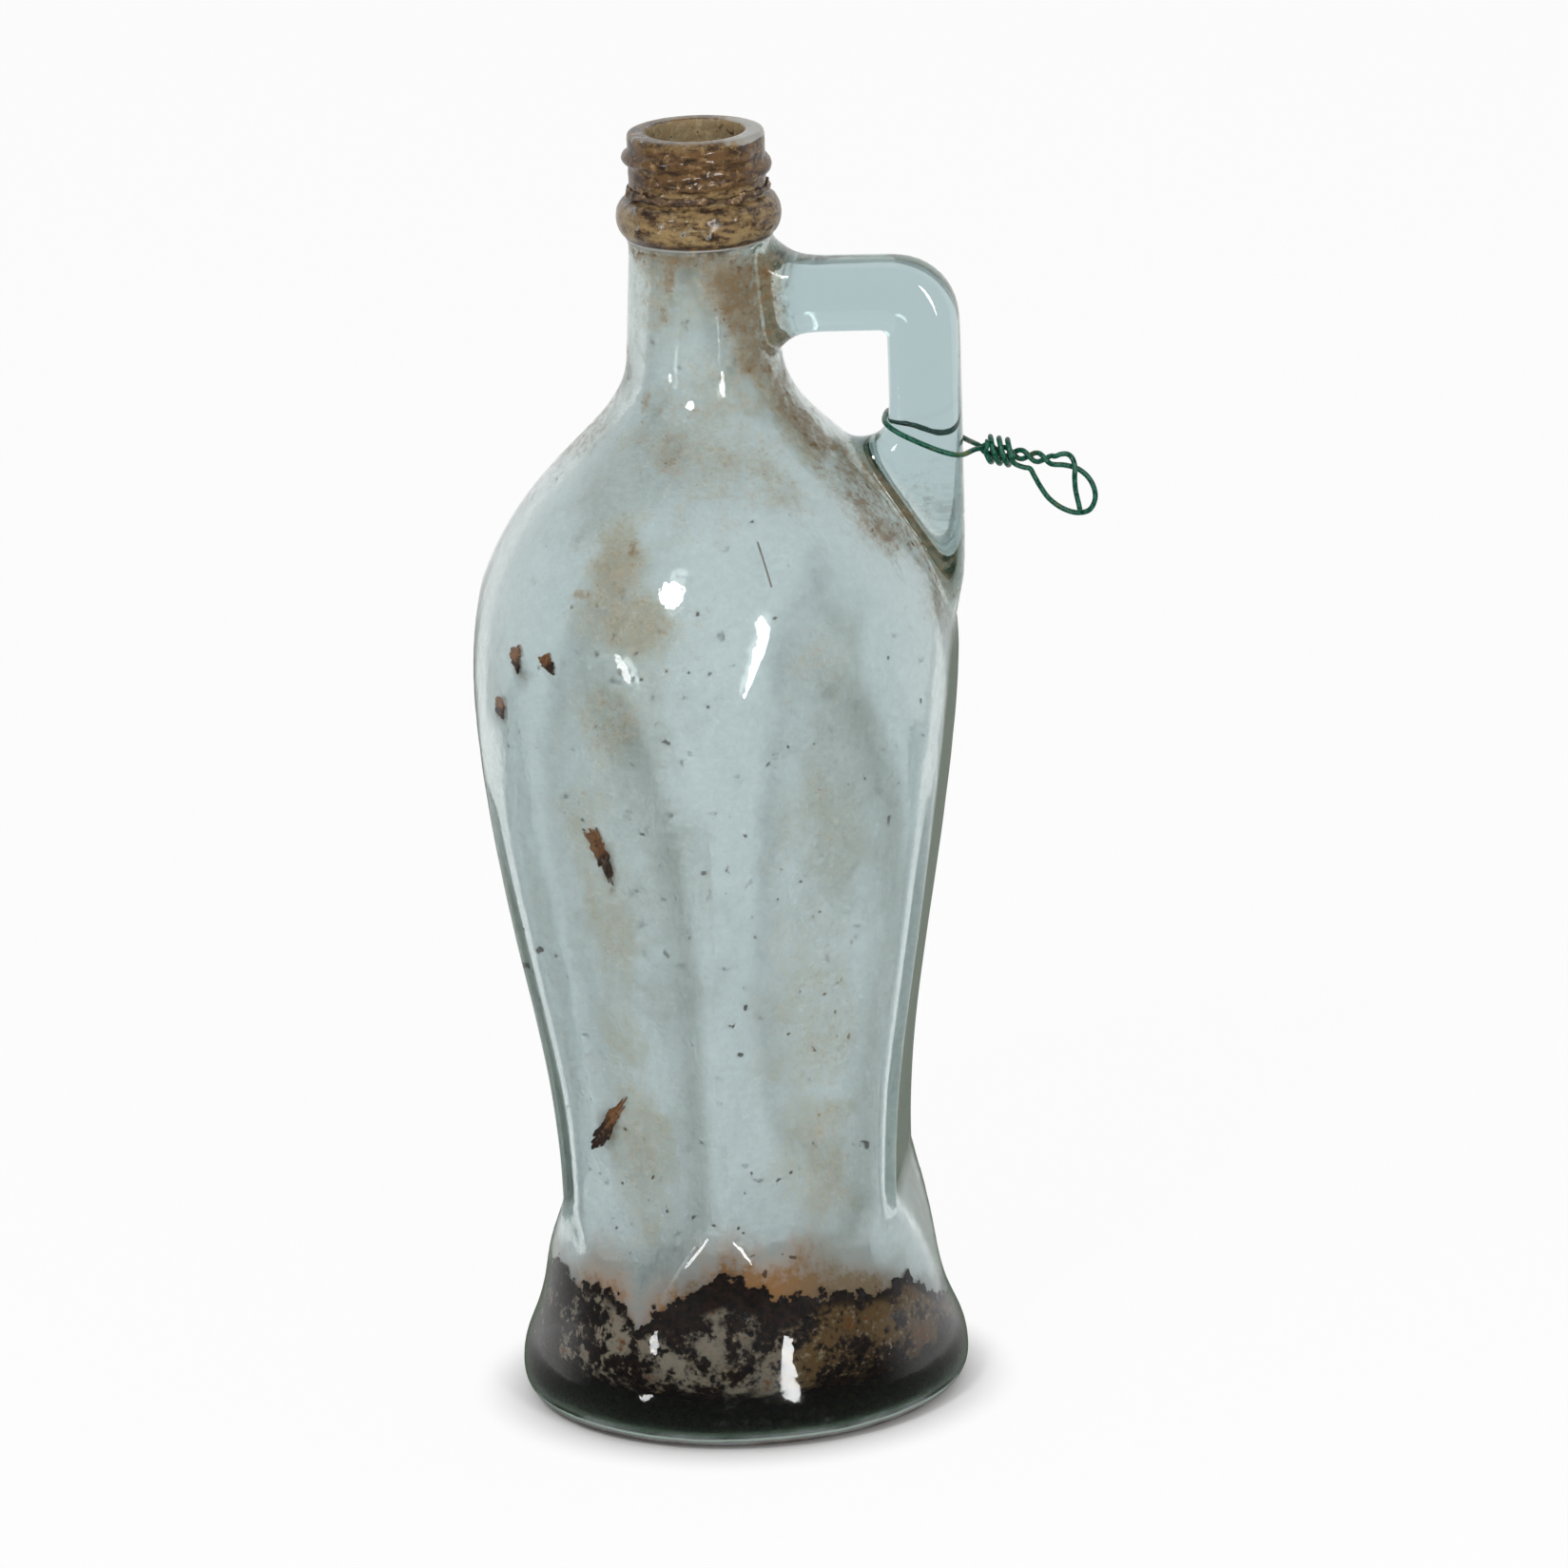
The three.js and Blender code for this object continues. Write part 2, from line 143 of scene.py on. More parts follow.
def smooth(value, low, high):
    """0 below low, 1 above high, and an easy climb between them."""
    share = clamp((value - low) / (high - low))
    return share * share * (3 - 2 * share)


class Signal:
    """A socket among a material's nodes. Arithmetic on it adds Math nodes, and add() makes any other."""

    def __init__(self, tree, socket=None):
        self.tree = tree
        self.socket = socket

    def add(self, kind, settings=None, inputs=None, output=0):
        node = self.tree.nodes.new(kind)
        for name, value in (settings or {}).items():
            setattr(node, name, value)
        for name, value in (inputs or {}).items():
            socket = node.inputs[name]
            if isinstance(value, Signal):
                self.tree.links.new(value.socket, socket)
            else:
                socket.default_value = value
        return Signal(self.tree, node.outputs[output] if node.outputs else None)

    def math(self, operation, left, right, limit=False):
        settings = {"operation": operation, "use_clamp": limit}
        return self.add("ShaderNodeMath", settings, {0: left, 1: right})

    def __add__(self, other):
        return self.math("ADD", self, other)

    __radd__ = __add__

    def __sub__(self, other):
        return self.math("SUBTRACT", self, other)

    def __rsub__(self, other):
        return self.math("SUBTRACT", other, self)

    def __mul__(self, other):
        return self.math("MULTIPLY", self, other)

    __rmul__ = __mul__

    def limited(self):
        return self.math("ADD", self, 0, limit=True)

    def rise(self, low, high, to=1.0):
        """Climbs smoothly from 0 at low to a level at high."""
        inputs = {"Value": self, "From Min": low, "From Max": high, "To Max": to}
        return self.add("ShaderNodeMapRange", {"interpolation_type": "SMOOTHSTEP"}, inputs)

    def colour(self, low, high):
        """Mixes two colours by this share."""
        return self.add("ShaderNodeMix", {"data_type": "RGBA"}, {0: self, 6: low, 7: high}, output=2)

    def shader(self, low, high):
        """Mixes two shaders by this share."""
        return self.add("ShaderNodeMixShader", inputs={0: self, 1: low, 2: high})

    def part(self, axis):
        """One coordinate of this place, in metres."""
        return self.add("ShaderNodeSeparateXYZ", inputs={0: self}, output=axis)

    def vector(self, operation, inputs, output=0):
        return self.add("ShaderNodeVectorMath", {"operation": operation}, inputs, output)

    def stretched(self, x, y, z):
        return self.vector("MULTIPLY", {0: self, 1: (x, y, z)})

    def mottle(self, size, detail, roughness=0.55):
        """Noise over this place, with lumps of about that many millimetres."""
        inputs = {"Vector": self, "Scale": 1 / (size * MM), "Detail": detail, "Roughness": roughness}
        return self.add("ShaderNodeTexNoise", inputs=inputs)

    def near_line(self, start, end, half_width):
        """1 along a straight line between two places in millimetres, and 0 away from it."""
        first = Vector(start) * MM
        span = Vector(end) * MM - first
        offset = self.vector("SUBTRACT", {0: self, 1: tuple(first)})
        along = self.vector("DOT_PRODUCT", {0: offset, 1: tuple(span / span.length_squared)}, "Value")
        nearest = self.vector("SCALE", {0: tuple(span), "Scale": along.limited()})
        away = self.vector("DISTANCE", {0: offset, 1: nearest}, "Value")
        return 1 - away.rise(half_width * MM, 2 * half_width * MM)

    def attribute(self, name):
        return self.add("ShaderNodeAttribute", {"attribute_name": name}, output="Fac")

    def place(self):
        return self.add("ShaderNodeTexCoord", output="Object")

    def bump(self, height, depth):
        return self.add("ShaderNodeBump", inputs={"Height": height, "Distance": depth * MM})

    def principled(self, inputs):
        return self.add("ShaderNodeBsdfPrincipled", inputs=inputs)


def new_material(name):
    material = bpy.data.materials.new(name)
    material.use_nodes = True
    material.node_tree.nodes.clear()
    return material, Signal(material.node_tree)


def end_material(material, surface, volume=None):
    """Gives a material its surface, and its inside where it has one."""
    inputs = {"Surface": surface}
    if volume:
        inputs["Volume"] = volume
    Signal(material.node_tree).add("ShaderNodeOutputMaterial", inputs=inputs)
    return material


def new_object(name, data):
    made = bpy.data.objects.new(name, data)
    bpy.context.scene.collection.objects.link(made)
    return made


def new_piece(name, mesh_maker, material):
    """An object at the origin whose place is in its mesh, in metres."""
    mesh = bpy.data.meshes.new(name)
    bmesh.ops.scale(mesh_maker, vec=(MM, MM, MM), verts=mesh_maker.verts)
    mesh_maker.to_mesh(mesh)
    mesh_maker.free()
    mesh.shade_smooth()
    piece = new_object(name, mesh)
    mesh.materials.append(material)
    return piece


def finished_mesh(drawn):
    """What an object's modifiers, or its bevel, give as a mesh."""
    graph = bpy.context.evaluated_depsgraph_get()
    return bpy.data.meshes.new_from_object(drawn.evaluated_get(graph))


def settle_modifiers(piece):
    """Makes what the modifiers give the piece's own mesh."""
    mesh = finished_mesh(piece)
    piece.modifiers.clear()
    piece.data = mesh
    mesh.shade_smooth()


# Camera, light and floor

CAMERA_AZIMUTH = 6
CAMERA_ELEVATION = 16.416
CAMERA_ROLL = 2.305
CAMERA_DISTANCE = 2000
CAMERA_TARGET = (11.474, 0, 116.774)
CAMERA_LENS = 247.3
SENSOR_WIDTH = 36

# Lamps: azimuth, elevation, width and height in metres, and power in watts
LAMPS = {
    "left_lamp": (-18, 39, 0.26, 0.26, 6),
    "right_lamp": (29, 14, 0.2, 0.85, 8),
    "low_lamp": (-46, 3, 0.16, 0.26, 1.5),
}
LAMP_DISTANCE = 1.5
LAMP_TARGET = (0, 0, 0.15)

# Levels of white: what lights the shapes, and the dim side of the room in reflections
SHADE_LEVEL = 0.5
ROOM_LEVEL = 0.12
WHITE = (1, 1, 1, 1)
PAPER_WHITE = (0.95, 0.95, 0.95, 1)
FLOOR_GLOW = 0.93
FLOOR_RADIUS = 4000
FLOOR_DROP = 0.3


def direction_to(azimuth, elevation):
    """The direction from the bottle to something round it."""
    turn = math.radians(azimuth)
    lift = math.radians(elevation)
    return Vector((math.sin(turn) * math.cos(lift), -math.cos(turn) * math.cos(lift), math.sin(lift)))


def set_camera():
    turn = math.radians(CAMERA_AZIMUTH)
    roll = math.radians(CAMERA_ROLL)
    back = direction_to(CAMERA_AZIMUTH, CAMERA_ELEVATION)
    level = Vector((math.cos(turn), math.sin(turn), 0))
    upright = back.cross(level)
    right = level * math.cos(roll) - upright * math.sin(roll)
    up = level * math.sin(roll) + upright * math.cos(roll)
    spot = (Vector(CAMERA_TARGET) + back * CAMERA_DISTANCE) * MM
    data = bpy.data.cameras.new("camera")
    data.lens = CAMERA_LENS
    data.sensor_width = SENSOR_WIDTH
    camera = new_object("camera", data)
    camera.matrix_world = Matrix.Translation(spot) @ Matrix((right, up, back)).transposed().to_4x4()
    bpy.context.scene.camera = camera


def soft_lamp(name, azimuth, elevation, width, height, power):
    """A rounded lamp that faces the bottle's shoulder."""
    back = direction_to(azimuth, elevation)
    data = bpy.data.lights.new(name, "AREA")
    data.shape = "ELLIPSE"
    data.size = width
    data.size_y = height
    data.energy = power
    lamp = new_object(name, data)
    facing = back.to_track_quat("Z", "Y").to_matrix().to_4x4()
    lamp.matrix_world = Matrix.Translation(Vector(LAMP_TARGET) + back * LAMP_DISTANCE) @ facing


def light_path(nodes, name):
    return nodes.add("ShaderNodeLightPath", output=name)


def seen_directly(nodes):
    """1 for what the camera sees, also through the glass."""
    return (light_path(nodes, "Is Camera Ray") + light_path(nodes, "Is Transmission Ray")).limited()


def set_world():
    """White where it is seen, and in reflections a white backdrop and a dim room on the camera's side."""
    world = bpy.data.worlds.new("studio")
    world.use_nodes = True
    world.node_tree.nodes.clear()
    nodes = Signal(world.node_tree)
    direction = nodes.add("ShaderNodeTexCoord", output="Generated")
    towards_back = direction.part("Y")
    room = ROOM_LEVEL + towards_back.rise(-0.2, 0.4, 1 - ROOM_LEVEL)
    mirrored = light_path(nodes, "Is Glossy Ray") * (1 - light_path(nodes, "Is Transmission Ray"))
    strength = SHADE_LEVEL + (1 - SHADE_LEVEL) * seen_directly(nodes) + mirrored * (room - SHADE_LEVEL)
    background = nodes.add("ShaderNodeBackground", inputs={"Color": WHITE, "Strength": strength})
    nodes.add("ShaderNodeOutputWorld", inputs={"Surface": background})
    bpy.context.scene.world = world


def set_floor():
    """Pale paper with the object's shadow and a painted contact shadow round the base, whose near side is
    as dim in reflections as the room is.
    """
    material, nodes = new_material("pale_floor")
    paper = nodes.principled({"Base Color": PAPER_WHITE, "Roughness": 0.9, "Specular IOR Level": 0})
    light = nodes.add("ShaderNodeEmission", inputs={"Color": WHITE})
    dim = nodes.add("ShaderNodeEmission", inputs={"Color": WHITE, "Strength": ROOM_LEVEL})
    place = nodes.place()
    away = place.vector("LENGTH", {0: place}, "Value")
    near_side = 1 - place.part("Y").rise(-0.05, 0.15)
    glossy = light_path(nodes, "Is Glossy Ray")
    seen = (seen_directly(nodes) + glossy).limited()
    # Painted contact shadow: the glow fades near the base, leaving only the paper's own shading there
    share = seen * away.rise(0.9 * BASE_RADIUS * MM, 1.25 * BASE_RADIUS * MM, FLOOR_GLOW)
    lit = share.shader(paper, light)
    mirrored = glossy * (1 - light_path(nodes, "Is Transmission Ray")) * near_side
    end_material(material, mirrored.shader(lit, dim))
    disc = bmesh.new()
    bmesh.ops.create_circle(disc, cap_ends=True, segments=96, radius=FLOOR_RADIUS)
    bmesh.ops.translate(disc, verts=disc.verts, vec=(0, 0, -FLOOR_DROP))
    floor = new_piece("floor", disc, material)


# Glass

def sweep(start, start_run, end, end_run, steps):
    """Points after start along a curve that is upright at both ends."""
    side = 1 if end[1] > start[1] else -1
    controls = (
        Vector(start),
        Vector((start[0], start[1] + side * start_run)),
        Vector((end[0], end[1] - side * end_run)),
        Vector(end),
    )
    points = []
    for step in range(1, steps + 1):
        t = step / steps
        shares = ((1 - t) ** 3, 3 * t * (1 - t) ** 2, 3 * t * t * (1 - t), t ** 3)
        points.append(sum((c * share for c, share in zip(controls, shares)), Vector((0, 0))))
    return points


def arc(middle, across, up, start, end, steps):
    """Points after the start of an elliptic arc."""
    points = []
    for step in range(1, steps + 1):
        angle = math.radians(start + (end - start) * step / steps)
        points.append(Vector((middle[0] + across * math.cos(angle), middle[1] + up * math.sin(angle))))
    return points


def straight(start, end, steps):
    """Points after the start of a straight stretch."""
    return [Vector(start).lerp(Vector(end), step / steps) for step in range(1, steps + 1)]


def outer_skin():
    """The outside from the middle of the base up to the bore's edge, as radius and height."""
    contact = BASE_RADIUS - HEEL_RADIUS
    heel = (BASE_RADIUS, HEEL_RADIUS)
    bead_middle = (FINISH_RADIUS, NECK_TOP[1] + BEAD_DEPTH / 2)
    wall_top = (FINISH_RADIUS, BOTTLE_HEIGHT - LIP_ROUND)
    neck = []
    for height in NECK_ROWS:
        share = (height - NECK_FOOT[1]) / (NECK_TOP[1] - NECK_FOOT[1])
        neck.append(Vector(NECK_FOOT).lerp(Vector(NECK_TOP), share))
    points = [Vector((0, 0))]
    points += straight((0, 0), (contact, 0), 6)
    points += arc((contact, HEEL_RADIUS), HEEL_RADIUS, HEEL_RADIUS, -90, 0, 5)
    points += sweep(heel, FLARE_RUN, WAIST, WAIST_RUN_DOWN, 12)
    points += sweep(WAIST, WAIST_RUN_UP, SHOULDER, SHOULDER_RUN_DOWN, 26)
    points += sweep(SHOULDER, SHOULDER_RUN_UP, NECK_FOOT, NECK_FOOT_RUN, SHOULDER_ROWS)
    points += neck
    points += arc(bead_middle, BEAD_PROUD, BEAD_DEPTH / 2, BEAD_START_ANGLE, 90, 9)
    points += straight((FINISH_RADIUS, FINISH_FOOT), wall_top, 15)
    points += arc((FINISH_RADIUS - LIP_ROUND, wall_top[1]), LIP_ROUND, LIP_ROUND, 0, 90, 2)
    lip_outer = (FINISH_RADIUS - LIP_ROUND, BOTTLE_HEIGHT)
    lip_inner = (BORE_RADIUS + LIP_ROUND, BOTTLE_HEIGHT)
    points += straight(lip_outer, lip_inner, 2)
    return points


def inner_skin():
    """The inside from below the bore's edge down to the middle of the floor."""
    bore = (BORE_RADIUS, BOTTLE_HEIGHT - LIP_ROUND)
    neck_top = (BORE_RADIUS, NECK_TOP[1])
    neck_foot = (NECK_FOOT[0] - WALL, NECK_FOOT[1] - WALL / 2)
    shoulder = (SHOULDER[0] - WALL, SHOULDER[1])
    waist = (WAIST[0] - WALL, WAIST[1])
    heel = (BASE_RADIUS - HEEL_WALL, FLOOR + INNER_HEEL_RADIUS)
    floor_edge = heel[0] - INNER_HEEL_RADIUS
    waist_run = WAIST_RUN_DOWN - INNER_HEEL_RADIUS - FLOOR
    points = arc((BORE_RADIUS + LIP_ROUND, bore[1]), LIP_ROUND, LIP_ROUND, 90, 180, 2)
    points += straight(bore, neck_top, 9)
    points += straight(neck_top, neck_foot, 8)
    points += sweep(neck_foot, NECK_FOOT_RUN, shoulder, SHOULDER_RUN_UP, 20)
    points += sweep(shoulder, SHOULDER_RUN_DOWN, waist, WAIST_RUN_UP, 22)
    points += sweep(waist, waist_run, heel, FLARE_RUN / 2, 9)
    points += arc((floor_edge, heel[1]), INNER_HEEL_RADIUS, INNER_HEEL_RADIUS, 0, -90, 5)
    points += straight((floor_edge, FLOOR), (0, FLOOR), 4)
    return points


def skin_radius(skin, height):
    """The radius of a skin that runs up or down past a height."""
    for here, there in zip(skin, skin[1:]):
        if min(here.y, there.y) <= height < max(here.y, there.y):
            return here.x + (there.x - here.x) * (height - here.y) / (there.y - here.y)
    return 0


def panel_press(angle, height):
    """The share of the round radius that a flat panel has at an angle in radians and a height, and the
    angle's place between the panel's middle and its sides, from -1 to 1."""
    spacing = 2 * math.pi / PANEL_COUNT
    from_middle = angle - spacing * round(angle / spacing)
    point = clamp((height - PANEL_BOTTOM) / (RIDGE_FOOT - PANEL_BOTTOM))
    climb = clamp((height - ARCH_FOOT) / (ARCH_TOP - ARCH_FOOT))
    half = spacing / 2 * point * math.sqrt(1 - climb * climb)
    past = max(PANEL_BOTTOM - height, height - ARCH_TOP, 0)
    pressed = (math.cos(half) + PANEL_FADE * past) / math.cos(from_middle)
    return pressed, from_middle / (spacing / 2)


def panel_factor(angle, height):
    """The share of the round radius that the pressed glass has, with soft ridges between its panels."""
    pressed = panel_press(angle, height)[0]
    softness = RIDGE_SOFTNESS * (0.3 + 0.7 * smooth(height, 32, 80))
    overlap = max(softness - abs(1 - pressed), 0)
    return min(1, pressed) - overlap * overlap / (4 * softness)


def thread_rise(angle, height):
    """How far the helical thread stands out of the finish at an angle and a height."""
    rise = 0
    for turn in range(3):
        share = (THREAD_START_ANGLE - angle + 360 * (turn - 1)) / (360 * THREAD_TURNS)
        if 0 <= share <= 1:
            fade = min(share, 1 - share) / THREAD_FADE
            sunk = THREAD_RADIUS * (1 - smooth(fade, 0, 1))
            middle = THREAD_TOP - THREAD_RADIUS - THREAD_PITCH * THREAD_TURNS * share
            off = abs(height - middle)
            if off < THREAD_RADIUS:
                crown = math.sqrt(THREAD_RADIUS ** 2 - off ** 2)
                rise = max(rise, THREAD_PROUD - THREAD_RADIUS - sunk + crown)
    return rise


def spin_round(maker, profile, steps):
    """Spins a profile once round the bottle's axis, with its faces turned outward."""
    bmesh.ops.spin(
        maker,
        geom=profile,
        axis=(0, 0, 1),
        cent=(0, 0, 0),
        angle=2 * math.pi,
        steps=steps,
        use_merge=True,
    )
    bmesh.ops.remove_doubles(maker, verts=maker.verts, dist=1e-4)
    bmesh.ops.recalc_face_normals(maker, faces=maker.faces)


def spun_glass():
    """The bottle's walls, spun from one profile, with the inner skin marked."""
    glass = bmesh.new()
    inside = glass.verts.layers.float.new("inside")
    outer = outer_skin()
    inner = inner_skin()
    profile = []
    for point in outer + inner:
        profile.append(glass.verts.new((point.x, 0, point.y)))
    for vert in profile[len(outer):]:
        vert[inside] = 1
    edges = [glass.edges.new(pair) for pair in zip(profile, profile[1:])]
    spin_round(glass, profile + edges, GLASS_COLUMNS)
    return glass


def open_root(glass, low, high, half_angle, half_width, first_low):
    """Opens the outer skin where the handle joins it, and gives the rim from its outer middle on."""
    inside = glass.verts.layers.float["inside"]
    faces = []
    for face in glass.faces:
        middle = face.calc_center_median()
        turn = math.degrees(math.atan2(middle.y, middle.x))
        if low < middle.z < high and abs(turn) < half_angle and face.verts[0][inside] == 0:
            faces.append(face)
    bmesh.ops.delete(glass, geom=faces, context="FACES")
    rim = {vert for vert in glass.verts if vert.is_boundary and low - 1 < vert.co.z < high + 1}
    in_plane = [vert for vert in rim if abs(vert.co.y) < 1e-3]
    first = min(in_plane, key=lambda vert: vert.co.z if first_low else -vert.co.z)
    ring = [first]
    while len(ring) < len(rim):
        nearby = []
        for edge in ring[-1].link_edges:
            other = edge.other_vert(ring[-1])
            if edge.is_boundary and other not in ring:
                nearby.append(other)
        ring.append(max(nearby, key=lambda vert: vert.co.y))
    for vert in ring:
        radius = math.hypot(vert.co.x, vert.co.y)
        widest = radius * math.sin(math.radians(half_angle))
        across = vert.co.y / widest * half_width
        vert.co.x = math.sqrt(radius ** 2 - across ** 2)
        vert.co.y = across
    return ring


# Sections of the handle's foot and upright: inner and outer point in the handle's plane
UPRIGHT_STATIONS = (
    ((27.4, 183), (46.1, 150.5)),
    ((29.6, 183.2), (46.5, 156)),
    ((31.8, 183.9), (46.7, 163.5)),
    ((33.3, 185.9), (46.9, 171.5)),
    ((33.8, 188.9), (47.0, 180.0)),
    ((33.8, 192.5), (47.1, 188.0)),
    ((33.8, 196.5), (47.15, 195.0)),
    ((33.8, 200.0), (47.2, 200.0)),
)

# Angles of its corner's sections, places of its bar's, and the flare where the bar joins the neck
CORNER_STATIONS = (8, 20, 32, 44, 56, 68, 80, 90)
BAR_STATIONS = (28.5, 24.5, 21)
NECK_STATIONS = (
    ((18.2, BAR_UNDERSIDE - 0.3), (18.2, HANDLE_TOP + 0.3)),
    ((16, BAR_UNDERSIDE - 1.3), (15.6, HANDLE_TOP + 1.6)),
)


def handle_stations():
    """Inner and outer points of the handle's sections, from the foot up and in to the neck."""
    stations = list(UPRIGHT_STATIONS)
    pivot = Vector((HANDLE_INNER - INNER_CORNER, BAR_UNDERSIDE - INNER_CORNER))
    corner = Vector((HANDLE_OUTER - HANDLE_CORNER, HANDLE_TOP - HANDLE_CORNER))
    for angle in CORNER_STATIONS:
        way = Vector((math.cos(math.radians(angle)), math.sin(math.radians(angle))))
        reach = (HANDLE_OUTER - pivot.x) / max(way.x, 1e-6)
        if pivot.y + way.y * reach > corner.y:
            out = pivot - corner
            along = out.dot(way)
            reach = -along + math.sqrt(along ** 2 - out.length_squared + HANDLE_CORNER ** 2)
        if pivot.x + way.x * reach < corner.x:
            reach = (HANDLE_TOP - pivot.y) / way.y
        stations.append((tuple(pivot + way * INNER_CORNER), tuple(pivot + way * reach)))
    for along in BAR_STATIONS:
        stations.append(((along, BAR_UNDERSIDE), (along, HANDLE_TOP)))
    stations += NECK_STATIONS
    return stations


def handle_section(inner, outer):
    """A section with soft corners, evenly divided, from its outer middle towards +Y."""
    middle = (Vector(inner) + Vector(outer)) / 2
    half = (Vector(outer) - Vector(inner)) / 2
    dense = []
    fine = 720
    for step in range(fine + 1):
        angle = 2 * math.pi * step / fine
        along = math.copysign(abs(math.cos(angle)) ** (2 / HANDLE_SQUARENESS), math.cos(angle))
        across = math.copysign(abs(math.sin(angle)) ** (2 / HANDLE_SQUARENESS), math.sin(angle))
        spot = middle + half * along
        dense.append(Vector((spot.x, HANDLE_WIDTH / 2 * across, spot.y)))
    reached = [0]
    for here, there in zip(dense, dense[1:]):
        reached.append(reached[-1] + (there - here).length)
    places = []
    index = 0
    for point in range(RING_POINTS):
        wanted = reached[-1] * point / RING_POINTS
        while reached[index + 1] < wanted:
            index += 1
        share = (wanted - reached[index]) / max(reached[index + 1] - reached[index], 1e-9)
        places.append(dense[index].lerp(dense[index + 1], share))
    return places


def grow_ring(glass, ring, places):
    """Extrudes a ring of edges to new places and gives the new ring in the same order."""
    edges = [glass.edges.get(pair) for pair in zip(ring, ring[1:] + ring[:1])]
    made = bmesh.ops.extrude_edge_only(glass, edges=edges)["geom"]
    fresh = {item for item in made if isinstance(item, bmesh.types.BMVert)}
    grown = []
    for vert in ring:
        grown.append(next(e.other_vert(vert) for e in vert.link_edges if e.other_vert(vert) in fresh))
    for vert, place in zip(grown, places):
        vert.co = place
    return grown


def add_handle(glass):
    """Grows the handle out of the shoulder and welds it to the neck."""
    shoulder = sweep(SHOULDER, SHOULDER_RUN_UP, NECK_FOOT, NECK_FOOT_RUN, SHOULDER_ROWS)
    foot_low = shoulder[FOOT_ROOT_ROWS[0] - 1].y
    foot_high = shoulder[FOOT_ROOT_ROWS[1] - 1].y
    ring = open_root(glass, foot_low, foot_high, FOOT_ROOT_ANGLE, FOOT_ROOT_HALF_WIDTH, True)
    neck = open_root(glass, NECK_ROWS[0], NECK_ROWS[-1], NECK_ROOT_ANGLE, NECK_ROOT_HALF_WIDTH, False)
    for inner, outer in handle_stations():
        ring = grow_ring(glass, ring, handle_section(inner, outer))
    ring = grow_ring(glass, ring, [vert.co.copy() for vert in neck])
    bmesh.ops.weld_verts(glass, targetmap=dict(zip(ring, neck)))
    bmesh.ops.recalc_face_normals(glass, faces=glass.faces)


# Patches below are given by angle, height, half width in degrees, half height and strength

# Places where the film on the inner wall is tan
TAN_PATCHES = (
    (-95, 213, 70, 15, 0.3),
    (-48, 214, 34, 12, 0.5),
    (-36, 203, 28, 13, 0.5),
    (-24, 190, 26, 14, 0.6),
    (-84, 190, 34, 12, 0.4),
    (-114, 170, 12, 11, 0.45),
    (-104, 158, 12, 8, 0.35),
    (-56, 179, 14, 7, 0.4),
    (-112, 140, 12, 11, 0.35),
    (-120, 100, 15, 56, 0.4),
    (-60, 92, 20, 60, 0.3),
    (-56, 54, 22, 19, 0.45),
    (-118, 54, 20, 22, 0.4),
    (60, 205, 60, 22, 0.6),
    (130, 170, 28, 20, 0.5),
    (60, 110, 20, 50, 0.4),
    (120, 100, 20, 60, 0.4),
    (180, 90, 20, 50, 0.4),
)

# Rust-coloured spots inside
RUST_PATCHES = (
    (-70, 222, 30, 4, 0.7),
    (-117, 112, 5, 8, 0.45),
    (-133, 58, 6, 7, 0.42),
    (-139, 147, 5, 4, 0.5),
    (-129, 148, 4, 3, 0.45),
    (-146, 139, 4, 4, 0.55),
    (120, 218, 30, 8, 0.5),
)

# Dried soil on the outside
SOIL_PATCHES = (
    (-45, 214, 46, 14, 0.82),
    (-90, 221, 110, 3.5, 0.75),
    (-128, 211, 30, 12, 0.38),
    (-110, 217, 10, 6, 0.75),
    (-116, 210, 9, 4, 0.8),
    (-127, 194, 6, 3.5, 0.7),
    (-104, 186, 12, 5, 0.6),
    (-34, 203, 34, 14, 0.76),
    (-24, 190, 28, 15, 0.84),
    (-16, 176, 26, 16, 0.76),
    (-8, 160, 18, 14, 0.64),
    (-80, 190, 58, 20, 0.42),
    (-113, 169, 16, 15, 0.43),
    (-107, 172, 3, 2.5, 0.85),
    (-121, 163.5, 3, 2, 0.75),
    (-102, 158, 18, 11, 0.4),
    (-56, 179, 14, 7, 0.5),
    (-111, 141, 12, 12, 0.48),
    (-118, 110, 14, 30, 0.24),
    (-60, 146, 13, 13, 0.27),
    (-57, 118, 14, 20, 0.22),
    (-58, 80, 16, 28, 0.24),
    (-56, 54, 16, 13, 0.34),
    (-118, 60, 14, 16, 0.26),
    (45, 206, 60, 20, 0.45),
    (130, 172, 32, 22, 0.5),
    (180, 190, 40, 16, 0.45),
    (120, 90, 26, 44, 0.32),
    (60, 110, 22, 44, 0.32),
)

# Orange haze above the residue's edge: angle, reach and strength
TIDE_MARK = (
    (-180, 8, 0.4), (-150, 10, 0.5), (-132, 16, 0.75), (-118, 11, 0.7), (-106, 12, 1), (-90, 13, 1),
    (-76, 15, 1), (-60, 21, 1), (-36, 15, 0.9), (-15, 8, 0.5), (180, 8, 0.4),
)

# Levels of dirt and of painted shade that the glass has at each of its points
WEATHER_LEVELS = ("film", "tan", "rust", "painted_crease_shade", "tide", "handle", "painted_shade", "soil")


def patch_level(patches, angle, height, wander):
    """How strongly some patches cover an angle and a height, with their edges moved by a wander."""
    level = 0
    for middle, tall, half_angle, half_height, strength in patches:
        turn = (angle - middle + 180) % 360 - 180
        off = math.hypot(turn / half_angle, (height - tall) / half_height)
        level = max(level, strength * (1 - smooth(off + wander, 0.35, 1.15)))
    return level


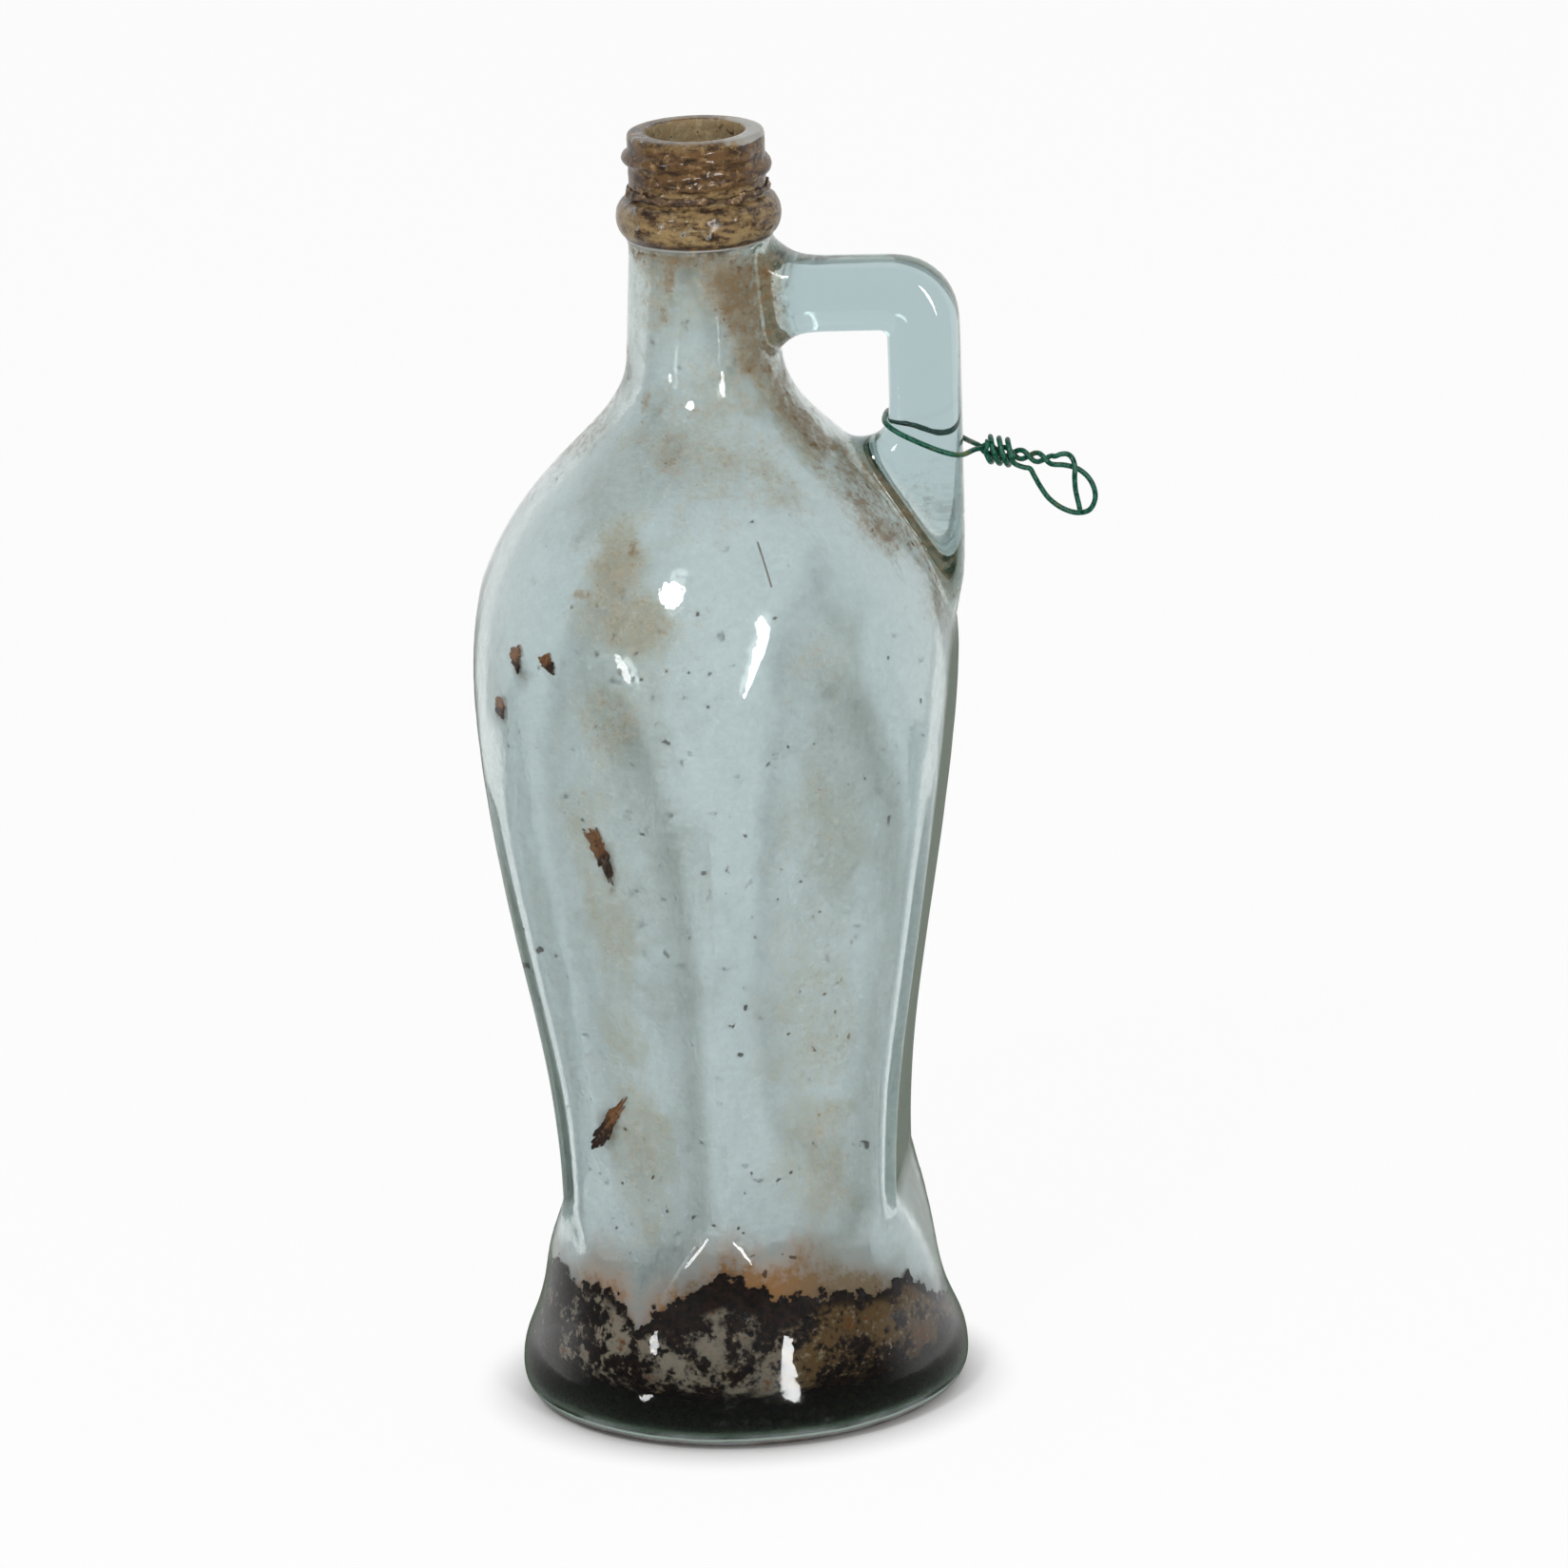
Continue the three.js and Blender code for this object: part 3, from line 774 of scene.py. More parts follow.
def inner_weather(place, turn, wander):
    """Film and stains on the inner wall, thinner film along its ridges as a painted highlight, and
    painted shade along one rim of each panel.
    """
    angle = math.degrees(turn)
    pressed, side = panel_press(turn, place.z)
    depth = math.hypot(place.x, place.y) * (1 - pressed)
    ridge = 1 - smooth(depth, -1.2, 1.2)
    # Painted shade: an olive band darkens one rim of each panel, where the glass bends
    rim = smooth(depth, 0, 1.2) * (1 - smooth(depth, 1.6, 4)) * smooth(side, -0.4, 0.6)
    film = 0.42 + 0.12 * noise.fractal(place / 30, 0.7, 2, 3)
    tan = patch_level(TAN_PATCHES, angle, place.z, wander)
    rust = patch_level(RUST_PATCHES, angle, place.z, wander)
    tan += 0.14 * smooth(noise.noise(place / 26), 0, 0.6)
    film += 0.32 * tan
    # Thinner film along the ridges: a painted highlight that lightens them
    if 30 < place.z < ARCH_TOP:
        film *= 1 - 0.15 * ridge
    reach, strength = along_table(TIDE_MARK, angle)
    above = place.z - along_table(RESIDUE_EDGE, angle)[0]
    tide = strength * (1 - smooth(above + 8 * wander, -1, reach))
    if place.z > NECK_TOP[1]:
        tan = 1
        film = 0.75
        rust = 0.22 + 0.28 * smooth(place.z, 225, 236)
    return {"film": film, "tan": tan, "rust": rust, "painted_crease_shade": rim, "tide": tide}


def finish_weather(place, angle, wander):
    """Crust on the bead and the thread, thickest in front, and a cleaner lip; painted shade in the groove
    under the bead and, away from the front, in the groove above it, and a darker bead away from the
    front.
    """
    lip = smooth(place.z + wander, 240, 240.9)
    cleaner = smooth(abs(angle + 60), 50, 110)
    crust = smooth(place.z + 4 * wander - 2 * cleaner, 224.5, 228.5) * (1 - lip)
    bead = smooth(place.z + wander, 221.6, 223) * (1 - lip)
    right = 1 - smooth(abs(angle - 5), 30, 75)
    rust = max(0.95 * crust, (0.8 - 0.2 * cleaner) * bead) + (0.7 - 0.45 * right) * lip
    # Painted shade: dark lines in the grooves under and above the bead, and a darker bead away from the
    # front
    seam = 1 - smooth(abs(place.z - 222.4), 0.3, 0.9)
    groove = 0.7 * cleaner * (1 - smooth(abs(place.z - 229.9), 0.3, 0.8))
    filled = smooth(place.z, 225.5, 227.5) * (1 - smooth(place.z, 231.5, 233.5)) * (1 - cleaner)
    return {
        "film": 0.15 + 0.15 * lip,
        "tan": max(bead * (1 - crust), 0.4 * lip, 0.8 * filled),
        "rust": clamp(rust + 0.4 * wander),
        "painted_shade": max(seam, groove) + 0.3 * cleaner * bead,
    }


def outer_weather(place, angle, wander, beyond):
    """Soil on the outside, painted shade under the base, and where the handle is."""
    soil = patch_level(SOIL_PATCHES, angle, place.z, wander) * (1 - smooth(beyond, 1, 5))
    soil = max(soil, 0.32 * smooth(beyond, 0.5, 3) * (1 - smooth(place.z, 166, 184)))
    # Painted shade: the underside is made dark, as the floor beneath the base is in shadow
    sole = 1 - smooth(place.z + 2 * wander, 0.5, 4)
    return {"handle": smooth(beyond, 0.3, 3), "painted_shade": sole, "soil": soil}


def weather(place, inside, beyond):
    """The levels of dirt on the glass at a place, by name. Those left out are 0."""
    turn = math.atan2(place.y, place.x)
    wander = 0.45 * noise.fractal(place / 9, 0.8, 2, 4)
    if inside > 0.5:
        return inner_weather(place, turn, wander)
    if math.hypot(place.x, place.y) < FINISH_RADIUS + 3 and place.z > NECK_TOP[1] - 0.5:
        return finish_weather(place, math.degrees(turn), wander)
    return outer_weather(place, math.degrees(turn), wander, beyond)


def crust_lump(place, angle):
    """How far dried crust stands out of the finish at a place, most of it in front."""
    thick = 1 - 0.85 * smooth(abs(angle - CRUST_FRONT_ANGLE), 40, 80)
    flattened = Vector((place.x, place.y, CRUST_FLATNESS * place.z))
    return CRUST_HEIGHT * thick * max(0, noise.fractal(flattened / CRUST_LUMP, 0.8, 2, 3))


def bottle_glass(material):
    """Bottle and handle as one welded skin, with its thread, crust and levels of dirt."""
    glass = spun_glass()
    add_handle(glass)
    piece = new_piece("bottle_glass", glass, material)
    finer = piece.modifiers.new("finer", "SUBSURF")
    finer.levels = 1
    settle_modifiers(piece)
    mesh = piece.data
    inside = [item.value for item in mesh.attributes["inside"].data]
    normals = [vert.normal.copy() for vert in mesh.vertices]
    levels = []
    skin = outer_skin()
    for vert, share, normal in zip(mesh.vertices, inside, normals):
        place = vert.co / MM
        beyond = 0
        if place.x > NECK_TOP[0] and ARCH_FOOT < place.z < NECK_TOP[1]:
            beyond = math.hypot(place.x, place.y) - skin_radius(skin, place.z)
        angle = math.atan2(place.y, place.x)
        factor = panel_factor(angle, place.z)
        if share > 0.5:
            place += normal * 0.25 * noise.fractal(place / 24, 0.9, 2, 2)
        elif NECK_TOP[1] + 0.5 < place.z < BOTTLE_HEIGHT - LIP_ROUND:
            rise = thread_rise(math.degrees(angle), place.z) if place.z > FINISH_FOOT else 0
            lump = crust_lump(place, math.degrees(angle))
            place.x += rise * math.cos(angle)
            place.y += rise * math.sin(angle)
            place += normal * lump
        elif place.z > 1:
            place += normal * 0.1 * noise.fractal(place / 20, 0.9, 2, 2)
        place.x *= factor
        place.y *= factor
        vert.co = place * MM
        levels.append(weather(place, share, beyond))
    for name in WEATHER_LEVELS:
        layer = mesh.attributes.new(name, "FLOAT", "POINT")
        layer.data.foreach_set("value", [level.get(name, 0) for level in levels])
    return piece


# Colours of the glass, its dirt, and the shade painted on it
FILM_GREY = rgb(234, 243, 247)
FILM_TAN = rgb(198, 180, 142)
# Olive of the painted shade along the panels' rims
PAINTED_SHADE_OLIVE = rgb(120, 124, 108)
TIDE_ORANGE = rgb(170, 122, 80)
TIDE_BROWN = rgb(134, 104, 80)
TIDE_GREY = rgb(136, 122, 102)
RUST_PALE = rgb(152, 131, 90)
SOIL_TAN = rgb(170, 162, 142)
SOIL_BROWN = rgb(116, 96, 68)
# Dark green of the painted shade where the glass is seen edge-on
EDGE_SHADE_GREEN = rgb(80, 96, 74)
RUST_TAN = rgb(148, 120, 82)
RUST_BROWN = rgb(102, 75, 45)
RUST_DARK = rgb(46, 32, 22)

# Ends of a thin dark scratch on the shoulder, and half its width
SCRATCH = ((11.92, -32.76, 172.2), (14.5, -36.8, 165.0))
SCRATCH_HALF_WIDTH = 0.14

# Tints of clear glass: body, handle, and what light loses on its way through
GLASS_TINT = (0.84, 0.895, 0.905, 1)
HANDLE_TINT = (0.58, 0.685, 0.735, 1)
GLASS_DEPTH = (0.6, 0.7, 0.61, 1)
GLASS_DEPTH_DENSITY = 45


def weathered_glass():
    """Clear glass, dark green where the body is seen edge-on as painted shade, under film, stains, rust,
    soil and painted shade placed by the levels on the mesh.
    """
    material, nodes = new_material("weathered_glass")
    place = nodes.place()
    inside = nodes.attribute("inside")
    film, tan, rust, painted_crease_shade, tide, handle, painted_shade, soil = map(nodes.attribute, WEATHER_LEVELS)
    cloud = place.mottle(14, 4)
    grain = place.mottle(1.6, 5, 0.65)
    bands = place.stretched(1, 1, 2.4).mottle(3.4, 5, 0.62)
    runs = place.stretched(1, 1, 0.22).mottle(2.6, 3)
    stain = tan + 0.5 * (cloud - 0.5) + 0.7 * (grain - 0.5) + 0.3 * (runs - 0.5)
    patch = stain.rise(0.06, 0.68)
    tanned = (patch * (0.5 + 0.5 * tan)).limited()
    dots = place.mottle(2.2, 1).rise(0.69, 0.75) * place.mottle(24, 2).rise(0.42, 0.57) * inside
    dirty = stain.rise(0.3, 0.9) * inside + soil.rise(0.15, 0.7)
    crumbs = place.mottle(1.1, 2, 0.5).rise(0.6, 0.72) * dirty
    scratch = place.near_line(*SCRATCH, SCRATCH_HALF_WIDTH) * (1 - inside)
    speck = (0.8 * dots + 0.7 * crumbs + scratch).limited()
    smoke = (tide * (0.1 + cloud + 1.2 * grain) - 0.1).limited()
    # Painted shade: the olive band along the panels' rims thickens the haze and tints it
    haze = film * (0.5 + 0.6 * grain + 0.4 * cloud) + 0.24 * painted_crease_shade * runs.rise(0.2, 0.6)
    haze = haze + 0.16 * patch + 0.7 * smoke
    rusted = (rust * (2.6 * grain + 0.5 * bands) - 0.35 * (1 - rust)).limited()
    dirt_colour = tanned.colour(FILM_GREY, FILM_TAN)
    dirt_colour = (0.55 * painted_crease_shade).colour(dirt_colour, PAINTED_SHADE_OLIVE)
    across = place.part("X") * (1 / MM)
    tide_colour = cloud.rise(0.3, 0.55).colour(TIDE_BROWN, TIDE_ORANGE)
    tide_colour = (across + 10 * (cloud - 0.5)).rise(9, 22, 0.75).colour(tide_colour, TIDE_GREY)
    dirt_colour = smoke.colour(dirt_colour, tide_colour)
    rust_colour = bands.rise(0.35, 0.62).colour(RUST_DARK, RUST_BROWN)
    rust_colour = grain.rise(0.5, 0.72).colour(rust_colour, RUST_TAN)
    pale = tan * (1 - inside) * bands.rise(0.4, 0.62)
    rust_colour = (0.8 * pale).colour(rust_colour, RUST_PALE)
    dirt_colour = rusted.colour(dirt_colour, rust_colour)
    dusting = soil + 0.8 * (cloud - 0.5) + 1.6 * (grain - 0.5) + 0.3 * (bands - 0.5)
    soiled = dusting.rise(0.1, 1.15) * soil.rise(0, 0.2)
    thick_soil = (0.6 * bands + 0.8 * soil + 0.5 * (grain - 0.5)).rise(0.55, 1.05)
    soil_colour = thick_soil.colour(SOIL_TAN, SOIL_BROWN)
    dirt_colour = soil.rise(0, 0.02).colour(dirt_colour, soil_colour)
    # Painted shade in the grooves and under the base is added to the dark specks here
    dark = (speck + painted_shade).limited()
    dirt_colour = dark.colour(dirt_colour, grain.rise(0.4, 0.7).colour(RUST_DARK, RUST_BROWN))
    cover = (haze + 0.85 * rusted + 0.75 * speck + painted_shade + 0.85 * soiled).limited()
    clear = nodes.principled({
        "Base Color": handle.colour(GLASS_TINT, HANDLE_TINT),
        "Roughness": cloud.rise(0.3, 0.8, 0.1),
        "IOR": 1.5,
        "Specular IOR Level": 0.3,
        "Transmission Weight": 1,
        "Normal": nodes.bump(cloud + 0.45 * place.mottle(4, 2), 0.12),
    })
    dirt = nodes.principled({
        "Base Color": dirt_colour,
        "Roughness": 0.85,
        "Specular IOR Level": 0.2,
        "Coat Weight": 0.6 * (1 - inside) * (1 - soil.rise(0, 0.1)),
        "Coat Roughness": 0.16,
        "Normal": nodes.bump(grain, 0.3),
    })
    inputs = {"Color": GLASS_DEPTH, "Density": GLASS_DEPTH_DENSITY}
    depth = nodes.add("ShaderNodeVolumeAbsorption", inputs=inputs)
    # Painted shade: a dark green opaque surface takes the place of clear glass where the body below the
    # shoulder is seen at a grazing angle
    edge = nodes.principled({"Base Color": EDGE_SHADE_GREEN, "Roughness": 0.3, "Specular IOR Level": 0})
    facing = nodes.add("ShaderNodeLayerWeight", inputs={"Blend": 0.5}, output="Facing")
    height = place.part("Z") * (1 / MM)
    body = (1 - inside) * (1 - height.rise(ARCH_TOP - 15, ARCH_TOP + 10))
    grazing = facing.rise(0.68, 0.94, 0.85) * body
    glass = grazing.shader(clear, edge)
    return end_material(material, cover.shader(glass, dirt), depth)


# Dried residue

# Height of the residue's edge round the bottle: angle and height
RESIDUE_EDGE = (
    (-180, 22), (-158, 28), (-146, 25), (-132, 26.5), (-123, 24), (-117, 20.5), (-108, 24.5), (-98, 29),
    (-90, 31), (-80, 29), (-73, 26), (-65, 26), (-49, 25), (-34, 23.5), (-26, 25), (-10, 17), (20, 14),
    (50, 10), (85, 13), (110, 10), (140, 14), (160, 18), (180, 22),
)


def offset_skin(skin, distance):
    """A skin that runs down and in, moved towards the hollow."""
    moved = []
    for index, point in enumerate(skin):
        before = skin[max(index - 1, 0)]
        after = skin[min(index + 1, len(skin) - 1)]
        along = (after - before).normalized()
        spot = Vector((point.x + along.y * distance, point.y - along.x * distance))
        if point.x < 1e-6:
            spot.x = 0
        moved.append(spot)
    return moved


def along_table(table, angle):
    """The values of a table of angles, in order, at an angle between two of its rows."""
    for (here, *low), (there, *high) in zip(table, table[1:]):
        if here <= angle <= there:
            share = (angle - here) / (there - here)
            return [first + (last - first) * share for first, last in zip(low, high)]
    return table[0][1:]


def base_residue(material):
    """A lumpy lining of the floor and lower wall, bedded on the glass, with crumbs above its edge."""
    skin = [point for point in inner_skin() if point.y < RESIDUE_CRUMB_TOP]
    lining = bmesh.new()
    inner = lining.verts.layers.float.new("inner")
    bed = offset_skin(skin, -RESIDUE_BED)
    face = offset_skin(skin, RESIDUE_FACE)
    profile = [lining.verts.new((point.x, 0, point.y)) for point in bed[::-1] + face]
    for vert in profile[len(bed):]:
        vert[inner] = 1
    edges = [lining.edges.new(pair) for pair in zip(profile, profile[1:])]
    bmesh.ops.subdivide_edges(lining, edges=edges, cuts=1)
    spin_round(lining, lining.verts[:] + lining.edges[:], RESIDUE_COLUMNS)
    lining.normal_update()
    over = lining.verts.layers.float.new("over")
    for vert in lining.verts:
        angle = math.atan2(vert.co.y, vert.co.x)
        vert[over] = vert.co.z - along_table(RESIDUE_EDGE, math.degrees(angle))[0]
        factor = panel_factor(angle, vert.co.z)
        lump = vert[inner] * clamp(0.5 + 0.8 * noise.fractal(vert.co / 5, 0.7, 2, 4), 0, 1.2)
        vert.co.x *= factor
        vert.co.y *= factor
        vert.co += vert.normal * lump * (1 - smooth(vert[over], -4, 1))
    return new_piece("base_residue_lining", lining, material)


RESIDUE_DARKS = (rgb(12, 6, 4), rgb(46, 27, 20))
GREY_EARTHS = (rgb(84, 73, 64), rgb(158, 145, 130))
BROWN_EARTHS = (rgb(62, 44, 26), rgb(112, 86, 54))
EARTH_GRAIN = rgb(160, 142, 118)
EARTH_RUST = rgb(118, 70, 34)


def dried_residue():
    material, nodes = new_material("dried_residue")
    place = nodes.place()
    over = nodes.attribute("over")
    height = place.part("Z") * (1 / MM)
    across = place.part("X") * (1 / MM)
    lumps = place.mottle(9, 5, 0.62)
    clots = place.mottle(4.5, 4, 0.6)
    grain = place.mottle(1.4, 4, 0.65)
    right = (across + 8 * lumps).rise(10, 20)
    arch = across.rise(-16, -8) * (1 - across.rise(10, 18))
    dark = grain.rise(0.35, 0.7).colour(*RESIDUE_DARKS)
    grey_earth = lumps.rise(0.35, 0.65).colour(*GREY_EARTHS)
    brown_earth = lumps.rise(0.35, 0.65).colour(*BROWN_EARTHS)
    earth = right.colour(grey_earth, brown_earth)
    earth = grain.rise(0.52, 0.75).colour(earth, EARTH_GRAIN)
    earth = clots.rise(0.6, 0.7).colour(earth, EARTH_RUST)
    left = 1 - across.rise(-26, -12)
    lid = (0 - over - 4 * arch).rise(0, 2)
    worn = (0.8 * lumps + 0.5 * clots + 0.7 * grain - 0.11 * left).rise(0.9, 1.04)
    bare = lid * (height + 14 * clots).rise(15.5, 18) * worn
    crumbs = (place.mottle(2.2, 3, 0.6) * 10 - over * 1.1 - 3.6).rise(0, 0.6)
    return end_material(material, nodes.principled({
        "Base Color": bare.colour(dark, earth),
        "Roughness": lumps.rise(0.3, 0.7, 0.9),
        "Specular IOR Level": 0.1,
        "Alpha": crumbs,
        "Normal": nodes.bump(grain, 0.4),
    }))


def finish_crust(material):
    """A lumpy ring of dirt between the bead and the thread."""
    ring = bmesh.new()
    low = FINISH_FOOT + 0.2
    high = THREAD_FOOT - 0.2
    section = [
        (FINISH_RADIUS + 0.1, low),
        (FINISH_RADIUS + 0.75, low + 0.3),
        (FINISH_RADIUS + 0.8, (low + high) / 2),
        (FINISH_RADIUS + 0.65, high - 0.3),
        (FINISH_RADIUS + 0.1, high),
    ]
    corners = [ring.verts.new((radius, 0, height)) for radius, height in section]
    edges = [ring.edges.new(pair) for pair in zip(corners, corners[1:] + corners[:1])]
    bmesh.ops.subdivide_edges(ring, edges=edges, cuts=1)
    spin_round(ring, ring.verts[:] + ring.edges[:], CRUST_COLUMNS)
    ring.normal_update()
    for vert in ring.verts:
        vert.co += vert.normal * (0.7 * noise.fractal(vert.co / 3.4, 0.7, 2, 4) - 0.35)
    return new_piece("finish_crust_ring", ring, material)


CRUST_BROWNS = (rgb(50, 36, 24), rgb(112, 84, 54))
CRUST_CREST = rgb(186, 166, 130)


def brown_crust():
    material, nodes = new_material("brown_crust")
    place = nodes.place()
    lumps = place.mottle(3, 5, 0.6)
    grain = place.mottle(0.8, 3, 0.6)
    colour = lumps.rise(0.38, 0.6).colour(*CRUST_BROWNS)
    colour = (lumps + 0.5 * grain).rise(0.82, 0.95).colour(colour, CRUST_CREST)
    return end_material(material, nodes.principled({
        "Base Color": colour,
        "Roughness": 0.8,
        "Coat Weight": 0.5,
        "Coat Roughness": 0.2,
        "Normal": nodes.bump(grain, 0.3),
    }))


# Rust flakes: node, angle, height, length, width, tilt in degrees, taper, seed
FLAKES = (
    ("rust_flake_1", -119, 114, 9.6, 3.4, 20, 0.4, 3),
    ("rust_flake_2", -133, 58.5, 12.5, 2.4, -42, -0.3, 8),
    ("rust_flake_3", -141, 149, 4.2, 2.2, 24, 0.5, 14),
    ("rust_flake_4", -130, 149.4, 3.6, 2, 40, 0.4, 21),
    ("rust_flake_5", -146, 139.5, 3, 2.4, 12, 0.3, 27),
)


def rust_flake(name, angle, height, length, width, tilt, taper, seed, material):
    """A ragged flake that follows the inner wall, narrower towards its foot."""
    skin = inner_skin()
    flake = bmesh.new()
    bmesh.ops.create_circle(flake, cap_ends=True, segments=128, radius=0.5)
    for thickness in (0.06, 0.1, 0.12, 0.1):
        middle = max(flake.faces, key=lambda face: len(face.verts))
        bmesh.ops.inset_region(flake, faces=[middle], thickness=thickness)
    along = flake.verts.layers.float.new("along")
    for vert in flake.verts:
        way = vert.co.normalized() if vert.co.length else vert.co
        edge = 1 + 0.5 * noise.fractal(way * 1.1 + Vector((seed, 0, 0)), 0.6, 2, 3)
        edge += 0.3 * noise.fractal(way * 5 + Vector((0, seed, 0)), 0.5, 2, 4)
        vert[along] = 0.5 + vert.co.y
        vert.co.x *= edge * width * (1 + 2 * taper * vert.co.y)
        vert.co.y *= edge * length
    bmesh.ops.rotate(flake, verts=flake.verts, matrix=Matrix.Rotation(math.radians(tilt), 3, "Z"))
    bmesh.ops.solidify(flake, geom=flake.faces[:], thickness=1)
    for vert in flake.verts:
        lump = 0.25 * noise.fractal(vert.co / 1.5 + Vector((0, seed, 0)), 0.6, 2, 3)
        depth = abs(vert.co.z)
        z = height + vert.co.y
        radius = skin_radius(skin, z)
        turn = math.radians(angle) + vert.co.x / radius
        inward = radius * panel_factor(turn, z) + FLAKE_BED - depth - (lump if depth > 0.2 else 0)
        vert.co = (inward * math.cos(turn), inward * math.sin(turn), z)
    bmesh.ops.recalc_face_normals(flake, faces=flake.faces)
    return new_piece(name.replace("rust_flake", "flake_of_rust"), flake, material)


FLAKE_BROWNS = (rgb(68, 42, 29), rgb(164, 108, 68))
FLAKE_GRAIN = rgb(178, 132, 88)
FLAKE_PIT = rgb(34, 20, 14)


def flaking_rust():
    material, nodes = new_material("flaking_rust")
    place = nodes.place()
    lumps = place.mottle(4, 4, 0.6)
    grain = place.mottle(0.7, 3, 0.6)
    upper = nodes.attribute("along") + 0.8 * (lumps - 0.5)
    colour = upper.rise(0.35, 0.75).colour(*FLAKE_BROWNS)
    colour = grain.rise(0.56, 0.76).colour(colour, FLAKE_GRAIN)
    colour = grain.rise(0.3, 0.42).colour(FLAKE_PIT, colour)
    return end_material(material, nodes.principled({
        "Base Color": colour,
        "Roughness": 0.95,
        "Normal": nodes.bump(grain, 0.3),
    }))


# Wire tie

WIRE_DIAMETER = 1
WIRE_GAP = 0.4
STRAND_RADIUS = 0.8
WINDING_RADIUS = 2.3
TIE_ABOVE_GAP = 4.6
TIE_DROP = 6.4
TIE_DROP_CURVE = 1.3
STEM_START = 3.2
STEM_LENGTH = 13.4
STEM_DROP = 2.6
STEM_TURNS = 2.25
WINDING_TURNS = 3.1
WINDING_PITCH = 1.6
WINDING_START = 1
WINDING_TILT = 0.9
STUB_LENGTH = 2.3
STRAND_LEAD = 0.9
STRAND_LEAD_SPREAD = 1.7
LOOP_OPENING = 34
LOOP_SQUARENESS = 0.55
LOOP_POINTS = 12
WINDING_POINTS_PER_TURN = 12
STRAND_POINTS_PER_TURN = 8

# Free stretches of the wire, from the stem's far end
END_LOOP = (
    (-5.6, -1.3, -0.9),
    (-4.5, -1.5, -1.1),
    (-3.7, -1.4, -2.6),
    (-2.7, -1.2, -4.6),
    (-1.1, -0.8, -7.1),
    (1.5, -0.3, -9.2),
    (4, 0, -10),
    (6.1, 0, -9.5),
    (7.2, 0, -7.5),
    (7.1, 0, -5.4),
    (6, 0, -3.2),
    (4.1, 0, -1.6),
    (1.7, 0, -0.9),
)
TAIL = (
    (1.2, 0, 1.15),
    (2.4, -0.2, 1.2),
    (3.3, -0.8, 0.6),
    (3.8, -1.5, -0.9),
    (3.7, -1.7, -2.8),
    (3.8, -1.6, -5.3),
    (4.3, -1.6, -8),
    (4.5, -1.6, -9.2),
)


def wire_route():
    """The wire's points: stub, winding, end loop, stem, round the upright, stem again, tail."""
    inner_height = GAP_FLOOR + TIE_ABOVE_GAP
    outer_height = inner_height - TIE_DROP
    stem_foot = Vector((HANDLE_OUTER + STEM_START, 0, outer_height))
    stem_end = stem_foot + Vector((STEM_LENGTH, 0, -STEM_DROP))
    stem_run = (stem_end - stem_foot).length
    axis = (stem_end - stem_foot).normalized()
    front = Vector((0, -1, 0))
    down = axis.cross(front)

    def around(distance, radius, turn):
        angle = 2 * math.pi * turn
        return stem_foot + axis * distance + radius * (front * math.cos(angle) + down * math.sin(angle))

    def strand(start_turn):
        count = round(STEM_TURNS * STRAND_POINTS_PER_TURN)
        points = [around(-STRAND_LEAD, STRAND_LEAD_SPREAD, start_turn)]
        for step in range(count + 1):
            share = step / count
            points.append(around(stem_run * share, STRAND_RADIUS, start_turn + STEM_TURNS * share))
        return points

    def squared(value):
        return math.copysign(abs(value) ** LOOP_SQUARENESS, value)

    foot = around(WINDING_START, WINDING_RADIUS, 0)
    route = [foot - down * STUB_LENGTH, foot - down * STUB_LENGTH / 2]
    count = round(WINDING_TURNS * WINDING_POINTS_PER_TURN)
    for step in range(count + 1):
        turn = WINDING_TURNS * step / count
        lean = WINDING_TILT * math.sin(2 * math.pi * turn)
        route.append(around(WINDING_START + WINDING_PITCH * turn + lean, WINDING_RADIUS, turn))
    route += [stem_end + Vector(point) for point in END_LOOP]
    route += reversed(strand(0))
    reach = WIRE_DIAMETER / 2 + WIRE_GAP
    half_along = (HANDLE_OUTER - HANDLE_INNER) / 2 + reach
    half_across = HANDLE_WIDTH / 2 + reach
    middle = (HANDLE_INNER + HANDLE_OUTER) / 2
    start = math.radians(LOOP_OPENING)
    for step in range(LOOP_POINTS + 1):
        angle = -start - 2 * (math.pi - start) * step / LOOP_POINTS
        along = half_along * squared(math.cos(angle))
        inward = (half_along - along) / (2 * half_along)
        height = outer_height + TIE_DROP * inward ** TIE_DROP_CURVE
        route.append(Vector((middle + along, half_across * squared(math.sin(angle)), height)))
    route += strand(0.5)
    route += [stem_end + Vector(point) for point in TAIL]
    return route


def smooth_route(points, steps):
    """Points along a centripetal curve through the given ones."""
    ends = [2 * points[0] - points[1]] + points + [2 * points[-1] - points[-2]]
    fine = [points[0]]
    for a, b, c, d in zip(ends, ends[1:], ends[2:], ends[3:]):
        t1 = math.sqrt((b - a).length)
        t2 = t1 + math.sqrt((c - b).length)
        t3 = t2 + math.sqrt((d - c).length)
        for step in range(1, steps + 1):
            t = t1 + (t2 - t1) * step / steps
            ab = a.lerp(b, t / t1)
            bc = b.lerp(c, (t - t1) / (t2 - t1))
            cd = c.lerp(d, (t - t2) / (t3 - t2))
            first = ab.lerp(bc, t / t2)
            last = bc.lerp(cd, (t - t1) / (t3 - t1))
            fine.append(first.lerp(last, (t - t1) / (t2 - t1)))
    return fine


